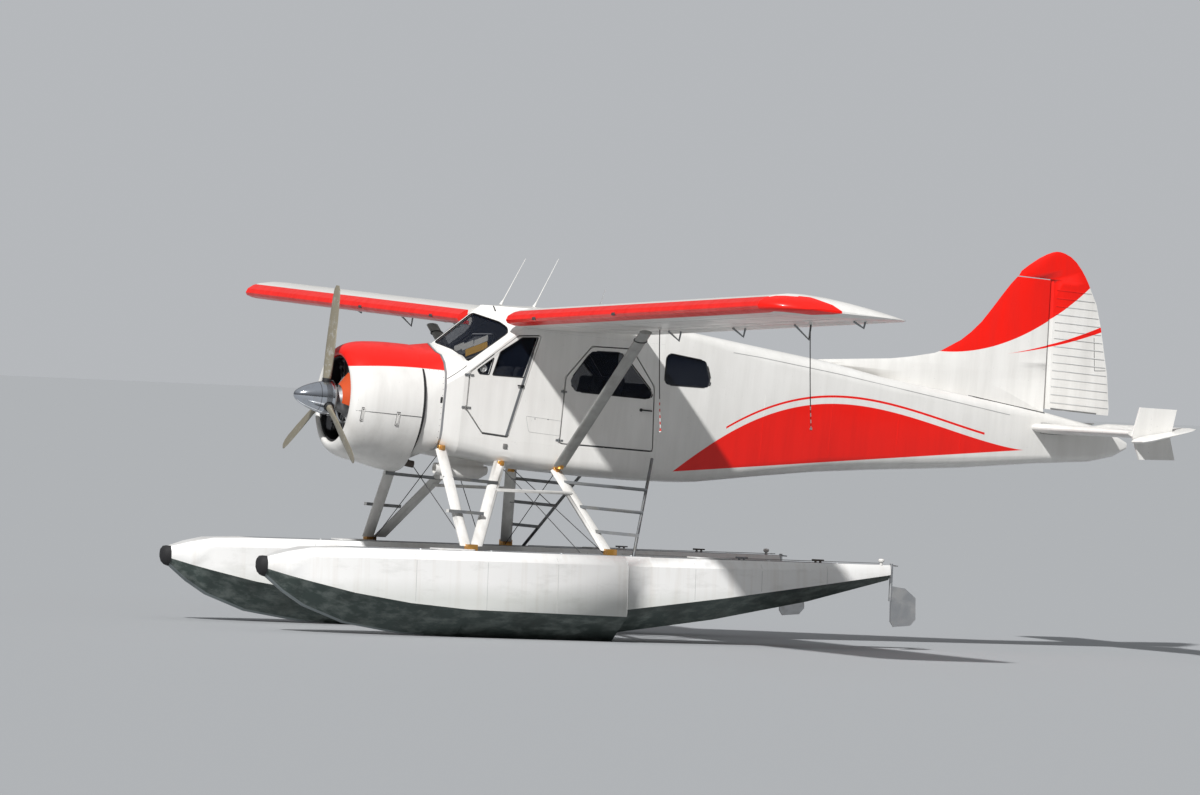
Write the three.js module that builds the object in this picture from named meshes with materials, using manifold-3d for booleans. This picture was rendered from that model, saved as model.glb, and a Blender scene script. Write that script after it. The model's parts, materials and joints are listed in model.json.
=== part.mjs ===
// Single-engine high-wing utility floatplane, standing on its two floats.
// Millimetres, +Z up, nose towards -Y, port side +X.
// The origin is under the middle of the whole length, on the floor.
// Two inner frames carry the pieces:
//   airframe: Y runs aft from the spinner's tip and Z up from the thrust line, turned nose-up by the rest pitch
//   floats: level, Y runs aft from the same station, Z from the floor

import * as THREE from 'three';
import { mergeVertices } from 'three/addons/utils/BufferGeometryUtils.js';
import Module from 'manifold-3d';

const wasm = await Module();
wasm.setup();
const { lerp } = THREE.MathUtils;

// Driving dimensions
const restPitch = THREE.MathUtils.degToRad(3.369);
const thrustHeight = 2458;
const middleStation = 4491.18;
const touchGap = 0.4;
const moveGap = 7;

const wing = {
  root: 661, rootRib: 6.5, halfSpan: 7315, chord: 1588, leadY: 2050, chordZ: 1002, cut: 0.733, nose: 0.757,
};
const dihedral = THREE.MathUtils.degToRad(2);
const wingBays = { flapIn: 40, flapOut: 3290, aileronIn: 3304, aileronOut: 6330, tip: 6345 };

const wall = 42;
const pillar = 32;
const glassThick = 7;
const firewall = { front: 1456, back: 1477 };
const cabin = { doorPost: 1655, rear: 3925, floorZ: -270, headerZ: 926, half: 660 };
const windshield = {
  baseY: 1513, baseZ: 699, depth: 30, normal: new THREE.Vector3(0.4416, -0.5935, 0.6727).normalize(),
};

const tail = { hingeY: 9131, hingeZ: 485, noseR: 30, trailY: 9535, parkedUp: THREE.MathUtils.degToRad(17) };
const finlet = { inner: 2085, outer: 2115 };
const rudderHinge = { lowY: 8829, lowZ: 691, highY: 8776, highZ: 2125, noseR: 42 };

const prop = { y: 353, radius: 1190, hubR: 105, turn: 3, blades: 3 };
const floatX = 1413;
const deckZ = 908;
const walkwayZ = 905;

// Handling ropes under the port wing: their rings' places on the wing, and the route below each, [x, y, down]
const wingRings = { inner: [2240, 2845, -70], outer: [5242, 3160, -50] };
const rope = { radius: 5, knotR: 14, steps: 44 };
const ropeRoute = [
  [0, 0, 0], [0, 0, 45], [1, 1, 110], [2, 3, 185], [3, 6, 260], [3, 10, 335], [2, 14, 410], [0, 18, 485],
  [-2, 23, 560], [-4, 28, 635], [-5, 33, 710], [-5, 38, 785], [-4, 43, 860], [-2, 48, 935], [0, 52, 1000],
  [1, 55, 1050],
];

const paint = {
  white: 0xf2f2f0, steel: 0xb9bcc0, polished: 0xd8dade, blade: 0x8f8c82, rubber: 0x1c1c1d, engine: 0x3a3b3d,
  glass: 0x9fb4bd, seat: 0x3b3e45, panel: 0x26282b, rope: 0x55504a,
};

// Solids from three.js geometry, and back
function solidOf(geometry) {
  const plain = new THREE.BufferGeometry();
  plain.setAttribute('position', geometry.getAttribute('position').clone());
  if (geometry.index) plain.setIndex(geometry.index.clone());
  const merged = mergeVertices(plain, 1e-3);
  return new wasm.Manifold(new wasm.Mesh({
    numProp: 3,
    vertProperties: new Float32Array(merged.getAttribute('position').array),
    triVerts: new Uint32Array(merged.index.array),
  }));
}

function geometryOf(solid) {
  const mesh = solid.getMesh();
  const geometry = new THREE.BufferGeometry();
  geometry.setAttribute('position', new THREE.BufferAttribute(new Float32Array(mesh.vertProperties), 3));
  geometry.setIndex(Array.from(mesh.triVerts));
  return geometry;
}

function mirroredX(geometry) {
  const copy = geometry.clone().scale(-1, 1, 1);
  const index = Array.from(copy.index.array);
  for (let i = 0; i < index.length; i += 3) {
    [index[i + 1], index[i + 2]] = [index[i + 2], index[i + 1]];
  }
  copy.setIndex(index);
  return copy;
}

// A closed skin through rings of the same number of points, each end closed around its middle
function loft(rings) {
  const count = rings[0].length;
  const points = rings.flat();
  const triangles = [];
  for (let r = 0; r + 1 < rings.length; r += 1) {
    for (let i = 0; i < count; i += 1) {
      const a = r * count + i;
      const b = r * count + (i + 1) % count;
      triangles.push([a, b, b + count], [a, b + count, a + count]);
    }
  }
  for (const [ring, turned] of [[0, true], [rings.length - 1, false]]) {
    const middle = points.length;
    const sum = rings[ring].reduce((total, p) => total.map((v, k) => v + p[k] / count), [0, 0, 0]);
    points.push(sum);
    for (let i = 0; i < count; i += 1) {
      const a = ring * count + i;
      const b = ring * count + (i + 1) % count;
      triangles.push(turned ? [b, a, middle] : [a, b, middle]);
    }
  }
  const volume = triangles.reduce((total, t) => {
    const [a, b, c] = t.map((k) => new THREE.Vector3(...points[k]));
    return total + a.dot(b.cross(c));
  }, 0);
  const index = volume > 0 ? triangles.flat() : triangles.flatMap(([a, b, c]) => [a, c, b]);
  const geometry = new THREE.BufferGeometry();
  geometry.setAttribute('position', new THREE.Float32BufferAttribute(points.flat(), 3));
  geometry.setIndex(index);
  return solidOf(geometry);
}

// A side-view outline of [y, z] corners, run along X
function sidePrism(outline, xLow, xHigh) {
  const shape = new THREE.Shape(outline.map(([y, z]) => new THREE.Vector2(y, z)));
  const geometry = new THREE.ExtrudeGeometry(shape, { depth: Math.abs(xHigh - xLow), bevelEnabled: false });
  const alongX = new THREE.Matrix4().makeBasis(
    new THREE.Vector3(0, 1, 0),
    new THREE.Vector3(0, 0, 1),
    new THREE.Vector3(1, 0, 0),
  );
  return solidOf(geometry.applyMatrix4(alongX).translate(Math.min(xLow, xHigh), 0, 0));
}

function block(x, y, z) {
  const size = [x, y, z].map(([low, high]) => high - low);
  const geometry = new THREE.BoxGeometry(...size);
  geometry.translate(...[x, y, z].map(([low, high]) => (low + high) / 2));
  return solidOf(geometry);
}

// Corners of an outline replaced by short arcs
function rounded(outline, radius, steps = 3) {
  const corners = outline.map((p) => new THREE.Vector2(...p));
  return corners.flatMap((corner, i) => {
    const before = corners[(i + corners.length - 1) % corners.length];
    const after = corners[(i + 1) % corners.length];
    const toBefore = before.clone().sub(corner).normalize();
    const toAfter = after.clone().sub(corner).normalize();
    const half = Math.acos(THREE.MathUtils.clamp(toBefore.dot(toAfter), -1, 1)) / 2;
    const room = Math.min(before.distanceTo(corner), after.distanceTo(corner)) * 0.45;
    const reach = Math.min(radius / Math.tan(half), room);
    const start = corner.clone().addScaledVector(toBefore, reach);
    const end = corner.clone().addScaledVector(toAfter, reach);
    const bend = new THREE.QuadraticBezierCurve(start, corner, end);
    return bend.getPoints(steps).map((p) => [p.x, p.y]);
  });
}

// An outline moved outwards by a distance, or inwards where it is negative
function offset(outline, distance) {
  const area = outline.reduce((sum, [y, z], i) => {
    const [y2, z2] = outline[(i + 1) % outline.length];
    return sum + y * z2 - y2 * z;
  }, 0);
  const turn = area > 0 ? 1 : -1;
  const normals = outline.map(([y, z], i) => {
    const [y2, z2] = outline[(i + 1) % outline.length];
    return new THREE.Vector2(z2 - z, y - y2).normalize().multiplyScalar(turn);
  });
  return outline.map(([y, z], i) => {
    const n1 = normals[(i + outline.length - 1) % outline.length];
    const n2 = normals[i];
    const bisector = n1.clone().add(n2).normalize();
    const reach = distance / Math.max(bisector.dot(n2), 0.3);
    return [y + bisector.x * reach, z + bisector.y * reach];
  });
}

// A station of the body: a round-cornered box with a raised middle above and below
function bodyRing({ y, half, top, bottom, crown, belly, rTop, rBottom }, grow = 0) {
  const corner = (cx, cz, r, from) => [0, 1, 2, 3, 4].map((k) => {
    const angle = THREE.MathUtils.degToRad(from + k * 22.5);
    return [cx + r * Math.cos(angle), y, cz + r * Math.sin(angle)];
  });
  const h = half + grow;
  const up = top - crown + grow;
  const down = bottom + belly - grow;
  const rt = Math.max(rTop + grow, 8);
  const rb = Math.max(rBottom + grow, 8);
  return [
    ...corner(h - rt, up - rt, rt, 0),
    [0, y, top + grow],
    ...corner(-h + rt, up - rt, rt, 90),
    ...corner(-h + rb, down + rb, rb, 180),
    [0, y, bottom - grow],
    ...corner(h - rb, down + rb, rb, 270),
  ];
}

function circleRing(y, radius, z, x, count = 22) {
  return Array.from({ length: count }, (_, i) => {
    const angle = (i / count) * Math.PI * 2;
    return [x + radius * Math.cos(angle), y, z + radius * Math.sin(angle)];
  });
}

// A streamlined bar between two points, its long section lying fore and aft
function strut(from, to, length, thick, grow = 0) {
  const a = new THREE.Vector3(...from);
  const b = new THREE.Vector3(...to);
  const along = b.clone().sub(a).normalize();
  const aft = new THREE.Vector3(0, 1, 0).addScaledVector(along, -along.y).normalize();
  const side = along.clone().cross(aft);
  const ring = (centre) => Array.from({ length: 12 }, (_, i) => {
    const angle = (i / 12) * Math.PI * 2;
    return centre.clone()
      .addScaledVector(aft, (length / 2 + grow) * Math.cos(angle))
      .addScaledVector(side, (thick / 2 + grow) * Math.sin(angle))
      .toArray();
  });
  return loft([ring(a), ring(b)]);
}

// Every solid of a list as one
const joined = (solids) => solids.reduce((all, next) => all.add(next));

// The largest of the bodies that a cut leaves
function mainBody(solid) {
  return solid.decompose().reduce((most, next) => (next.volume() > most.volume() ? next : most));
}

// A level place, as on the floats, seen from the airframe, and the other way round
function onAirframe([x, y, z]) {
  const up = z - thrustHeight;
  const [c, s] = [Math.cos(restPitch), Math.sin(restPitch)];
  return [x, y * c - up * s, y * s + up * c];
}

function levelOf([x, y, z]) {
  const [c, s] = [Math.cos(restPitch), Math.sin(restPitch)];
  return [x, y * c + z * s, z * c - y * s + thrustHeight];
}

// A place in the port wing's own frame, seen from the airframe
function offWing([x, y, z]) {
  const [c, s] = [Math.cos(dihedral), Math.sin(dihedral)];
  return [wing.root + x * c - z * s, y, wing.chordZ + x * s + z * c];
}

const floorNormal = [0, -Math.sin(restPitch), Math.cos(restPitch)];
const deckOffset = deckZ + touchGap - thrustHeight;

// Scene
const group = new THREE.Group();
const airframe = new THREE.Group();
airframe.position.set(0, -middleStation, thrustHeight);
airframe.rotation.x = -restPitch;
const floatGroup = new THREE.Group();
floatGroup.position.set(0, -middleStation, 0);
group.add(airframe, floatGroup);

function finish(color, roughness, metalness, opacity = 1) {
  return new THREE.MeshStandardMaterial({ color, roughness, metalness, opacity, transparent: opacity < 1 });
}

// colour, roughness, metalness, opacity
const finishes = {
  white: [paint.white, 0.3, 0], steel: [paint.steel, 0.4, 0.9], polished: [paint.polished, 0.15, 1],
  blade: [paint.blade, 0.5, 0.3], rubber: [paint.rubber, 0.8, 0], engine: [paint.engine, 0.6, 0.6],
  glass: [paint.glass, 0.05, 0, 0.35], seat: [paint.seat, 0.8, 0], panel: [paint.panel, 0.7, 0],
  rope: [paint.rope, 0.9, 0],
};

function add(name, shape, look, parent = airframe) {
  const geometry = shape.isBufferGeometry ? shape : geometryOf(shape);
  const mesh = new THREE.Mesh(geometry, finish(...finishes[look]));
  mesh.name = name;
  parent.add(mesh);
  return mesh;
}

// A port piece and its mirror image to starboard
function addPair(name, shape, look, parent = airframe) {
  const geometry = shape.isBufferGeometry ? shape : geometryOf(shape);
  return [
    add(`${name}_left`, geometry, look, parent),
    add(`${name}_right`, mirroredX(geometry), look, parent),
  ];
}

// Body stations
const columns = ['y', 'half', 'top', 'bottom', 'crown', 'belly', 'rTop', 'rBottom'];
const row = (values) => Object.fromEntries(columns.map((key, i) => [key, values[i]]));

// y, half, top, bottom, crown, belly, rTop, rBottom
const noseStations = [
  [1478, 612, 690, -462, 90, 20, 365, 210],
  [1655, 655, 700, -500, 92, 20, 335, 170],
  [2300, 660, 700, -545, 92, 20, 335, 130],
].map(row);

const cabinStations = [
  [1478, 612, 1120, -462, 30, 20, 60, 210],
  [1655, 655, 1130, -500, 30, 20, 60, 170],
  [2100, 660, 1160, -535, 30, 20, 60, 140],
  [2600, 660, 1195, -552, 32, 20, 60, 130],
  [3400, 660, 1188, -555, 32, 20, 60, 130],
  [3925, 660, 1150, -545, 30, 20, 65, 135],
].map(row);

const rearStations = [
  [3926, 660, 1150, -545, 30, 20, 65, 135],
  [4500, 632, 1096, -512, 26, 20, 110, 150],
  [5230, 548, 1033, -388, 20, 18, 170, 170],
  [6000, 452, 965, -262, 16, 16, 170, 170],
  [6750, 366, 856, -165, 14, 14, 150, 160],
  [7800, 256, 765, -45, 12, 12, 120, 130],
  [8770, 165, 672, 98, 10, 10, 90, 100],
  [9400, 100, 580, 176, 8, 8, 70, 75],
  [9700, 62, 500, 262, 6, 6, 50, 52],
  [9850, 26, 432, 356, 3, 3, 24, 24],
].map(row);

const rearCavity = [
  [3900, 620, 1108, -270, 30, 2, 40, 30],
  [4500, 592, 1054, -270, 26, 2, 80, 60],
  [5230, 520, 1003, -350, 20, 18, 150, 150],
  [6000, 424, 937, -234, 16, 16, 150, 150],
  [6750, 340, 828, -139, 14, 14, 130, 140],
  [7800, 232, 739, -21, 12, 12, 100, 110],
  [8500, 160, 676, 90, 10, 10, 80, 90],
].map(row);

// Lofts the rings of a list of stations, all grown or shrunk alike
const ringsOf = (stations, grow = 0) => stations.map((station) => bodyRing(station, grow));

function windshieldCut(solid, depth) {
  const { baseY, baseZ, normal } = windshield;
  const base = new THREE.Vector3(0, baseY, baseZ);
  return [1, -1].reduce((body, side) => {
    const outward = normal.clone().multiply(new THREE.Vector3(side, 1, 1));
    return body.trimByPlane(outward.clone().negate().toArray(), -outward.dot(base) + depth);
  }, solid);
}

const noseOuter = (grow = 0) => loft(ringsOf(noseStations, grow));
const cabinOuter = (grow = 0) => windshieldCut(loft(ringsOf(cabinStations, grow)), -grow);
const rearOuter = (grow = 0) => loft(ringsOf(rearStations, grow));

const frontHull = noseOuter().add(cabinOuter());
const frontHullGrown = noseOuter(touchGap).add(cabinOuter(touchGap));
const rearHullGrown = rearOuter(touchGap);

function frontCavity() {
  const ends = (stations, last) => stations.map((station, i) => {
    if (i === 0) return { ...station, y: station.y - 5 };
    return i === stations.length - 1 ? { ...station, y: last } : station;
  });
  const noseRoom = loft(ringsOf(ends(noseStations, 2300), -wall));
  const cabinRoom = windshieldCut(loft(ringsOf(ends(cabinStations, cabin.rear + 20), -wall)), windshield.depth);
  return noseRoom.add(cabinRoom).subtract(block([-900, 900], [1400, 4100], [-900, cabin.floorZ]));
}

const frontShell = frontHull.subtract(frontCavity());

// Side outlines of the doors and windows, [y, z]
const crewDoor = [[1700, 418], [2222, 858], [2488, 884], [2212, -236], [1911, -223], [1700, 20]];
const crewPanes = [
  [[1968, 411], [2324, 421], [2444, 850], [2266, 832], [2034, 660]],
  [[1792, 448], [1818, 411], [1922, 411], [1962, 590]],
];
const crewGlass = [[1745, 400], [1745, 425], [2238, 842], [2458, 862], [2342, 400]];
const cabinDoor = [[2800, 471], [3073, 830], [3546, 850], [3848, 470], [3897, -228], [2800, -244]];
const cabinPane = [[2858, 440], [3078, 772], [3440, 790], [3830, 405], [3812, 332], [2925, 328]];
const cabinGlass = offset(cabinPane, 17);
const rearPane = [[3952, 842], [4428, 800], [4503, 600], [4490, 520], [3955, 503]];

// The nose deck and the windshield's frame
function cabinFront() {
  const { baseY, baseZ, normal } = windshield;
  const base = new THREE.Vector3(0, baseY, baseZ);
  const ahead = frontShell.subtract(block([-900, 900], [cabin.doorPost, 4100], [-900, 1400]));
  const frames = [1, -1].map((side) => {
    const outward = normal.clone().multiply(new THREE.Vector3(side, 1, 1));
    return frontShell.trimByPlane(outward.toArray(), outward.dot(base) - pillar);
  });
  return joined([ahead, ...frames])
    .subtract(windshieldOpenings())
    .subtract(throughWall(rounded(crewDoor, crewDoorR)))
    .subtract(throughWall(rounded(crewDoor, crewDoorR), -1));
}

// A pane by its corners [x, y] on the windshield's plane, between two depths along its normal
function windshieldSlab(corners, low, high, side = 1) {
  const { baseY, baseZ, normal } = windshield;
  const ring = (depth) => corners.map(([x, y]) => {
    const z = baseZ - (normal.x * x + normal.y * (y - baseY)) / normal.z;
    return [side * (x + normal.x * depth), y + normal.y * depth, z + normal.z * depth];
  });
  return loft([ring(low), ring(high)]);
}

const windshieldPane = [
  [17, 1532], [17, 1932], [370, 2108], [500, 2146], [570, 2132], [542, 1724], [422, 1694], [260, 1645],
];

function windshieldOpenings() {
  return joined([1, -1].map((side) => windshieldSlab(windshieldPane, -60, 30, side)));
}

// What is left of the shell behind the front: belly and floor, roof, and the two sides
function behindFront(solid) {
  const aft = solid.subtract(block([-900, 900], [1000, cabin.doorPost + touchGap], [-900, 1400]));
  return windshieldCut(aft, pillar + touchGap);
}

function cabinFloor() {
  return behindFront(frontShell).subtract(block([-900, 900], [1000, 4100], [cabin.floorZ + 0.01, 1400]));
}

function cabinRoof() {
  return behindFront(frontShell).subtract(block([-900, 900], [1000, 4100], [-900, cabin.headerZ + touchGap]));
}

function cabinSideWhole() {
  return behindFront(frontShell)
    .subtract(block([-900, 100], [1000, 4100], [-900, 1400]))
    .subtract(block([0, 900], [1000, 4100], [-900, cabin.floorZ + touchGap]))
    .subtract(block([0, 900], [1000, 4100], [cabin.headerZ, 1400]));
}

const crewDoorR = 30;
const crewPaneR = 12;
const cabinDoorR = 40;
const cabinPaneR = 55;
const rebateX = cabin.half - 24;
const throughWall = (outline, side = 1) => sidePrism(outline, side * 300, side * 900);

function cabinSide() {
  return cabinSideWhole()
    .subtract(throughWall(rounded(crewDoor, crewDoorR)))
    .subtract(throughWall(rounded(cabinDoor, cabinDoorR)));
}

// A door leaf with its windows cut, and a rebate on the inside that its one sheet of glass lies in
function doorLeaf(outline, radius, panes, paneRadius, glass) {
  const wallOnly = frontShell.intersect(block([cabin.half - wall - 14, 900], [1400, 4100], [-900, 1400]));
  const leaf = wallOnly.intersect(throughWall(rounded(offset(outline, -moveGap), radius - moveGap)));
  const rebate = sidePrism(rounded(offset(glass, touchGap), paneRadius), cabin.half - wall - 30, rebateX);
  const openings = panes.map((pane) => throughWall(rounded(pane, paneRadius)));
  return leaf.subtract(rebate).subtract(joined(openings));
}

function glassSheet(glass, radius) {
  return sidePrism(rounded(glass, radius), rebateX - touchGap - glassThick, rebateX - touchGap);
}

function rearFuselage() {
  const windows = [1, -1].map((side) => sidePrism(rounded(rearPane, cabinPaneR), side * 450, side * 800));
  return loft(ringsOf(rearStations)).subtract(loft(ringsOf(rearCavity))).subtract(joined(windows));
}

// The rear window's pane stands in its opening, between two copies of the tapering side
function rearWindow() {
  const opening = sidePrism(rounded(offset(rearPane, -touchGap), cabinPaneR), 300, 800);
  return opening.intersect(rearOuter(-10)).subtract(rearOuter(-10 - glassThick));
}

// Engine, cowls and propeller
function engineCowl() {
  const profile = [
    [458, 486], [470, 458], [500, 452], [548, 478], [592, 545], [626, 660], [645, 850], [651, 1000], [652, 1217],
    [630, 1217], [629, 1000], [622, 850], [600, 680], [552, 560], [500, 510], [458, 486],
  ];
  return solidOf(new THREE.LatheGeometry(profile.map((p) => new THREE.Vector2(...p)), 48));
}

function engineBlock() {
  const profile = [
    [0, 470], [90, 470], [125, 520], [165, 600], [215, 650], [300, 668], [560, 675], [575, 720],
    [575, 940], [540, 985], [380, 1000], [340, 1100], [330, 1410], [0, 1410],
  ];
  return solidOf(new THREE.LatheGeometry(profile.map((p) => new THREE.Vector2(...p)), 36));
}

function accessoryCowl() {
  const front = 1226;
  const rear = 1454;
  const station = { ...noseStations[0], y: rear, half: 608, top: 686, bottom: -458 };
  const outer = loft([alignedCircle(front, 612, 1.055), bodyRing(station)]);
  const inner = loft([alignedCircle(front - 2, 582, 1.055), bodyRing({ ...station, y: rear + 2 }, -30)]);
  return outer.subtract(inner);
}

// A circle whose points follow a body station's order, with one at the top and one at the bottom,
// its upper half stretched upwards
function alignedCircle(y, radius, stretch) {
  const five = (from) => [0, 1, 2, 3, 4].map((k) => from + k * 19.5);
  const turns = [...five(0), 90, ...five(102), ...five(180), 270, ...five(282)];
  return turns.map((degrees) => {
    const angle = THREE.MathUtils.degToRad(degrees);
    const z = radius * Math.sin(angle);
    return [radius * Math.cos(angle), y, z > 0 ? z * stretch : z];
  });
}

function firewallPlate() {
  const station = noseStations[0];
  return loft([firewall.front, firewall.back].map((y) => bodyRing({ ...station, y })));
}

function bladeSolid(grow = 0) {
  // share of the radius, chord, thickness, pitch angle
  const sections = [
    [0.05, 84, 84, 26], [0.17, 92, 74, 26], [0.28, 140, 42, 22], [0.47, 160, 27, 17],
    [0.69, 158, 19, 14], [0.89, 140, 13, 12], [0.966, 112, 10, 11], [1, 62, 7, 11],
  ];
  return loft(sections.map(([share, chord, thick, pitch]) => {
    const along = share * prop.radius;
    const turn = THREE.MathUtils.degToRad(90 - pitch);
    return Array.from({ length: 12 }, (_, i) => {
      const angle = (i / 12) * Math.PI * 2;
      const u = (chord / 2 + grow) * Math.cos(angle);
      const v = (thick / 2 + grow) * Math.sin(angle);
      const across = u * Math.sin(turn) + v * Math.cos(turn);
      return [across, prop.y + u * Math.cos(turn) - v * Math.sin(turn), along];
    });
  }));
}

function turnedBlades(grow) {
  return Array.from({ length: prop.blades }, (_, i) => {
    const geometry = geometryOf(bladeSolid(grow));
    geometry.rotateY(THREE.MathUtils.degToRad(prop.turn + (i * 360) / prop.blades));
    return solidOf(geometry);
  });
}

function propeller() {
  const profile = [[0, 270], [70, 270], [prop.hubR, 300], [prop.hubR, 410], [60, 420], [60, 462], [0, 462]];
  const hub = new THREE.LatheGeometry(profile.map((p) => new THREE.Vector2(...p)), 24);
  return joined([solidOf(hub), ...turnedBlades(0)]);
}

function spinner() {
  const profile = [
    [0, 0], [34, 12], [66, 46], [100, 104], [132, 180], [158, 262], [178, 340], [188, 412],
    [180, 412], [170, 340], [150, 262], [124, 180], [92, 104], [58, 56], [0, 40],
  ];
  const shell = solidOf(new THREE.LatheGeometry(profile.map((p) => new THREE.Vector2(...p)), 36));
  return shell.subtract(joined(turnedBlades(8)));
}

// Wing in its own frame: X out along the span from the root, Y as on the airframe, Z from the chord line
const foil = [
  [0, 0, 0], [0.0125, 0.03, -0.018], [0.05, 0.058, -0.03], [0.1, 0.077, -0.035], [0.2, 0.097, -0.037],
  [0.3, 0.103, -0.036], [0.45, 0.098, -0.031], [0.6, 0.082, -0.023], [0.733, 0.061, -0.015],
  [0.757, 0.056, -0.014], [0.8, 0.048, -0.011], [0.9, 0.027, -0.006], [1, 0.003, -0.003],
];

function foilHeight(fraction) {
  const next = Math.max(foil.findIndex(([f]) => f >= fraction), 1);
  const [f0, up0, down0] = foil[next - 1];
  const [f1, up1, down1] = foil[next];
  const t = (fraction - f0) / (f1 - f0);
  return [lerp(up0, up1, t), lerp(down0, down1, t)];
}

function foilRing(x, lead, trail, thick) {
  const length = trail - lead;
  const upper = foil.map(([f, up]) => [x, lead + f * length, up * wing.chord * thick]);
  const lower = foil.slice(1).map(([f, , down]) => [x, lead + f * length, down * wing.chord * thick]);
  return [...upper, ...lower.reverse()];
}

function wingWhole() {
  const lead = wing.leadY;
  const trail = wing.leadY + wing.chord;
  const end = (wing.halfSpan - wing.root) / Math.cos(dihedral);
  // x, lead, trail, thickness
  const stations = [
    [wing.rootRib, lead, trail, 1], [wingBays.tip, lead, trail, 1], [end - 130, lead + 70, trail - 40, 0.8],
    [end - 40, lead + 220, trail - 150, 0.45], [end, lead + 420, trail - 330, 0.1],
  ];
  return loft(stations.map((station) => foilRing(...station)));
}

// The wing ahead of its flap and aileron, with two tie-down lugs below
function wingFixed() {
  const cutY = wing.leadY + wing.cut * wing.chord;
  const fixed = wingWhole().subtract(block([0, wingBays.tip], [cutY, cutY + 900], [-300, 300]));
  const lug = ([x, y, z]) => block([x - 13, x + 13], [y - 13, y + 13], [z, z + 40]);
  return joined([fixed, ...Object.values(wingRings).map(lug)]);
}

function trailingPiece(xLow, xHigh) {
  const noseY = wing.leadY + wing.nose * wing.chord;
  const [up, down] = foilHeight(wing.nose + 0.022).map((h) => h * wing.chord);
  const middle = (up + down) / 2;
  const nose = [0.2, 0.5, 0.8].map((t) => {
    const angle = Math.PI * t;
    return [noseY + 30 - 30 * Math.sin(angle), middle + ((up - down) / 2) * Math.cos(angle)];
  });
  const tailFractions = [wing.nose + 0.022, 0.85, 0.92, 1];
  const at = (f, which) => [wing.leadY + f * wing.chord, foilHeight(f)[which] * wing.chord];
  const outline = [
    ...tailFractions.slice().reverse().map((f) => at(f, 0)), ...nose, ...tailFractions.map((f) => at(f, 1)),
  ];
  return sidePrism(outline, xLow, xHigh);
}

function wingStrut() {
  const wingAbove = geometryOf(wingWhole()).rotateY(-dihedral).translate(wing.root, 0, wing.chordZ - touchGap);
  return strut([672, 2833, -470], [2900, 2690, 966], 140, 56)
    .subtract(frontHullGrown)
    .subtract(solidOf(wingAbove));
}

// Tail surfaces
function symmetricRing(x, lead, trail, thick, z) {
  // fraction of the chord, half thickness as a share of the whole
  const share = [
    [0, 0], [0.012, 0.42], [0.05, 0.75], [0.15, 1], [0.3, 0.98], [0.55, 0.62], [0.8, 0.34], [1, 0.1],
  ];
  const upper = share.map(([f, h]) => [x, lead + f * (trail - lead), z + (h * thick) / 2]);
  const lower = share.slice(1).map(([f, h]) => [x, lead + f * (trail - lead), z - (h * thick) / 2]);
  return [...upper, ...lower.reverse()];
}

const finletOutline = [[8838, 457], [8904, 773], [9344, 788], [9296, 470], [9373, 246], [8949, 213]];

function tailplane() {
  const { hingeY, hingeZ, noseR, trailY } = tail;
  const whole = loft([
    symmetricRing(20, 8568, trailY, 112, hingeZ), symmetricRing(finlet.inner + 10, 8792, trailY, 80, hingeZ),
  ]);
  const fixed = whole.subtract(block([0, 2600], [hingeY - noseR - 10, 9900], [0, 900]));
  const plate = sidePrism(finletOutline, finlet.inner, finlet.outer);
  return fixed.subtract(rearHullGrown).add(plate);
}

// The elevator in its own frame, Y and Z from its hinge, with the horn outboard of the finlet and a bridge behind it
function elevator() {
  const chord = tail.trailY - tail.hingeY;
  const section = (r) => [
    [chord, 4], [chord * 0.5, r * 0.62], [0, r], [-r * 0.7, r * 0.7], [-r, 0], [-r * 0.7, -r * 0.7],
    [0, -r], [chord * 0.5, -r * 0.62], [chord, -4],
  ];
  const inner = loft([[150, tail.noseR], [finlet.inner - 15, tail.noseR - 3]]
    .map(([x, r]) => section(r).map(([y, z]) => [x, y, z])));
  const hornLead = 8812 - tail.hingeY;
  const horn = loft([
    symmetricRing(finlet.outer + 15, hornLead, chord, 62, 0),
    symmetricRing(2330, hornLead + 30, chord - 30, 54, 0),
    symmetricRing(2395, hornLead + 120, chord - 110, 30, 0),
    symmetricRing(2415, hornLead + 210, chord - 200, 8, 0),
  ]);
  const bridge = loft([finlet.inner - 25, finlet.outer + 25].map((x) => [
    [x, chord, 4], [x, 275, 12], [x, 275, -12], [x, chord, -4],
  ]));
  return joined([inner, horn, bridge]);
}

function hingeLineY(z) {
  const { lowY, lowZ, highY, highZ } = rudderHinge;
  return lowY + ((z - lowZ) / (highZ - lowZ)) * (highY - lowY);
}

function finSolid() {
  // height, leading edge; the lowest heights run forward as the dorsal fin
  const heights = [
    [560, 5900], [940, 5900], [975, 6060], [1068, 6900], [1115, 7150], [1180, 7420], [1215, 7500],
    [1352, 7722], [1450, 7835], [1577, 7953], [1740, 8068], [1890, 8169], [2020, 8260], [2112, 8336],
  ];
  const shares = [[0, 8], [0.12, 22], [0.4, 46], [0.75, 54], [1, 46]];
  return loft(heights.map(([z, lead]) => {
    const trail = hingeLineY(z) - rudderHinge.noseR - 10;
    const slim = THREE.MathUtils.mapLinear(z, 560, 2112, 1, 0.62);
    const right = shares.map(([f, h]) => [h * slim, lead + f * (trail - lead), z]);
    const left = shares.slice().reverse().map(([f, h]) => [-h * slim, lead + f * (trail - lead), z]);
    return [...right, ...left];
  })).subtract(rearHullGrown);
}

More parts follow.
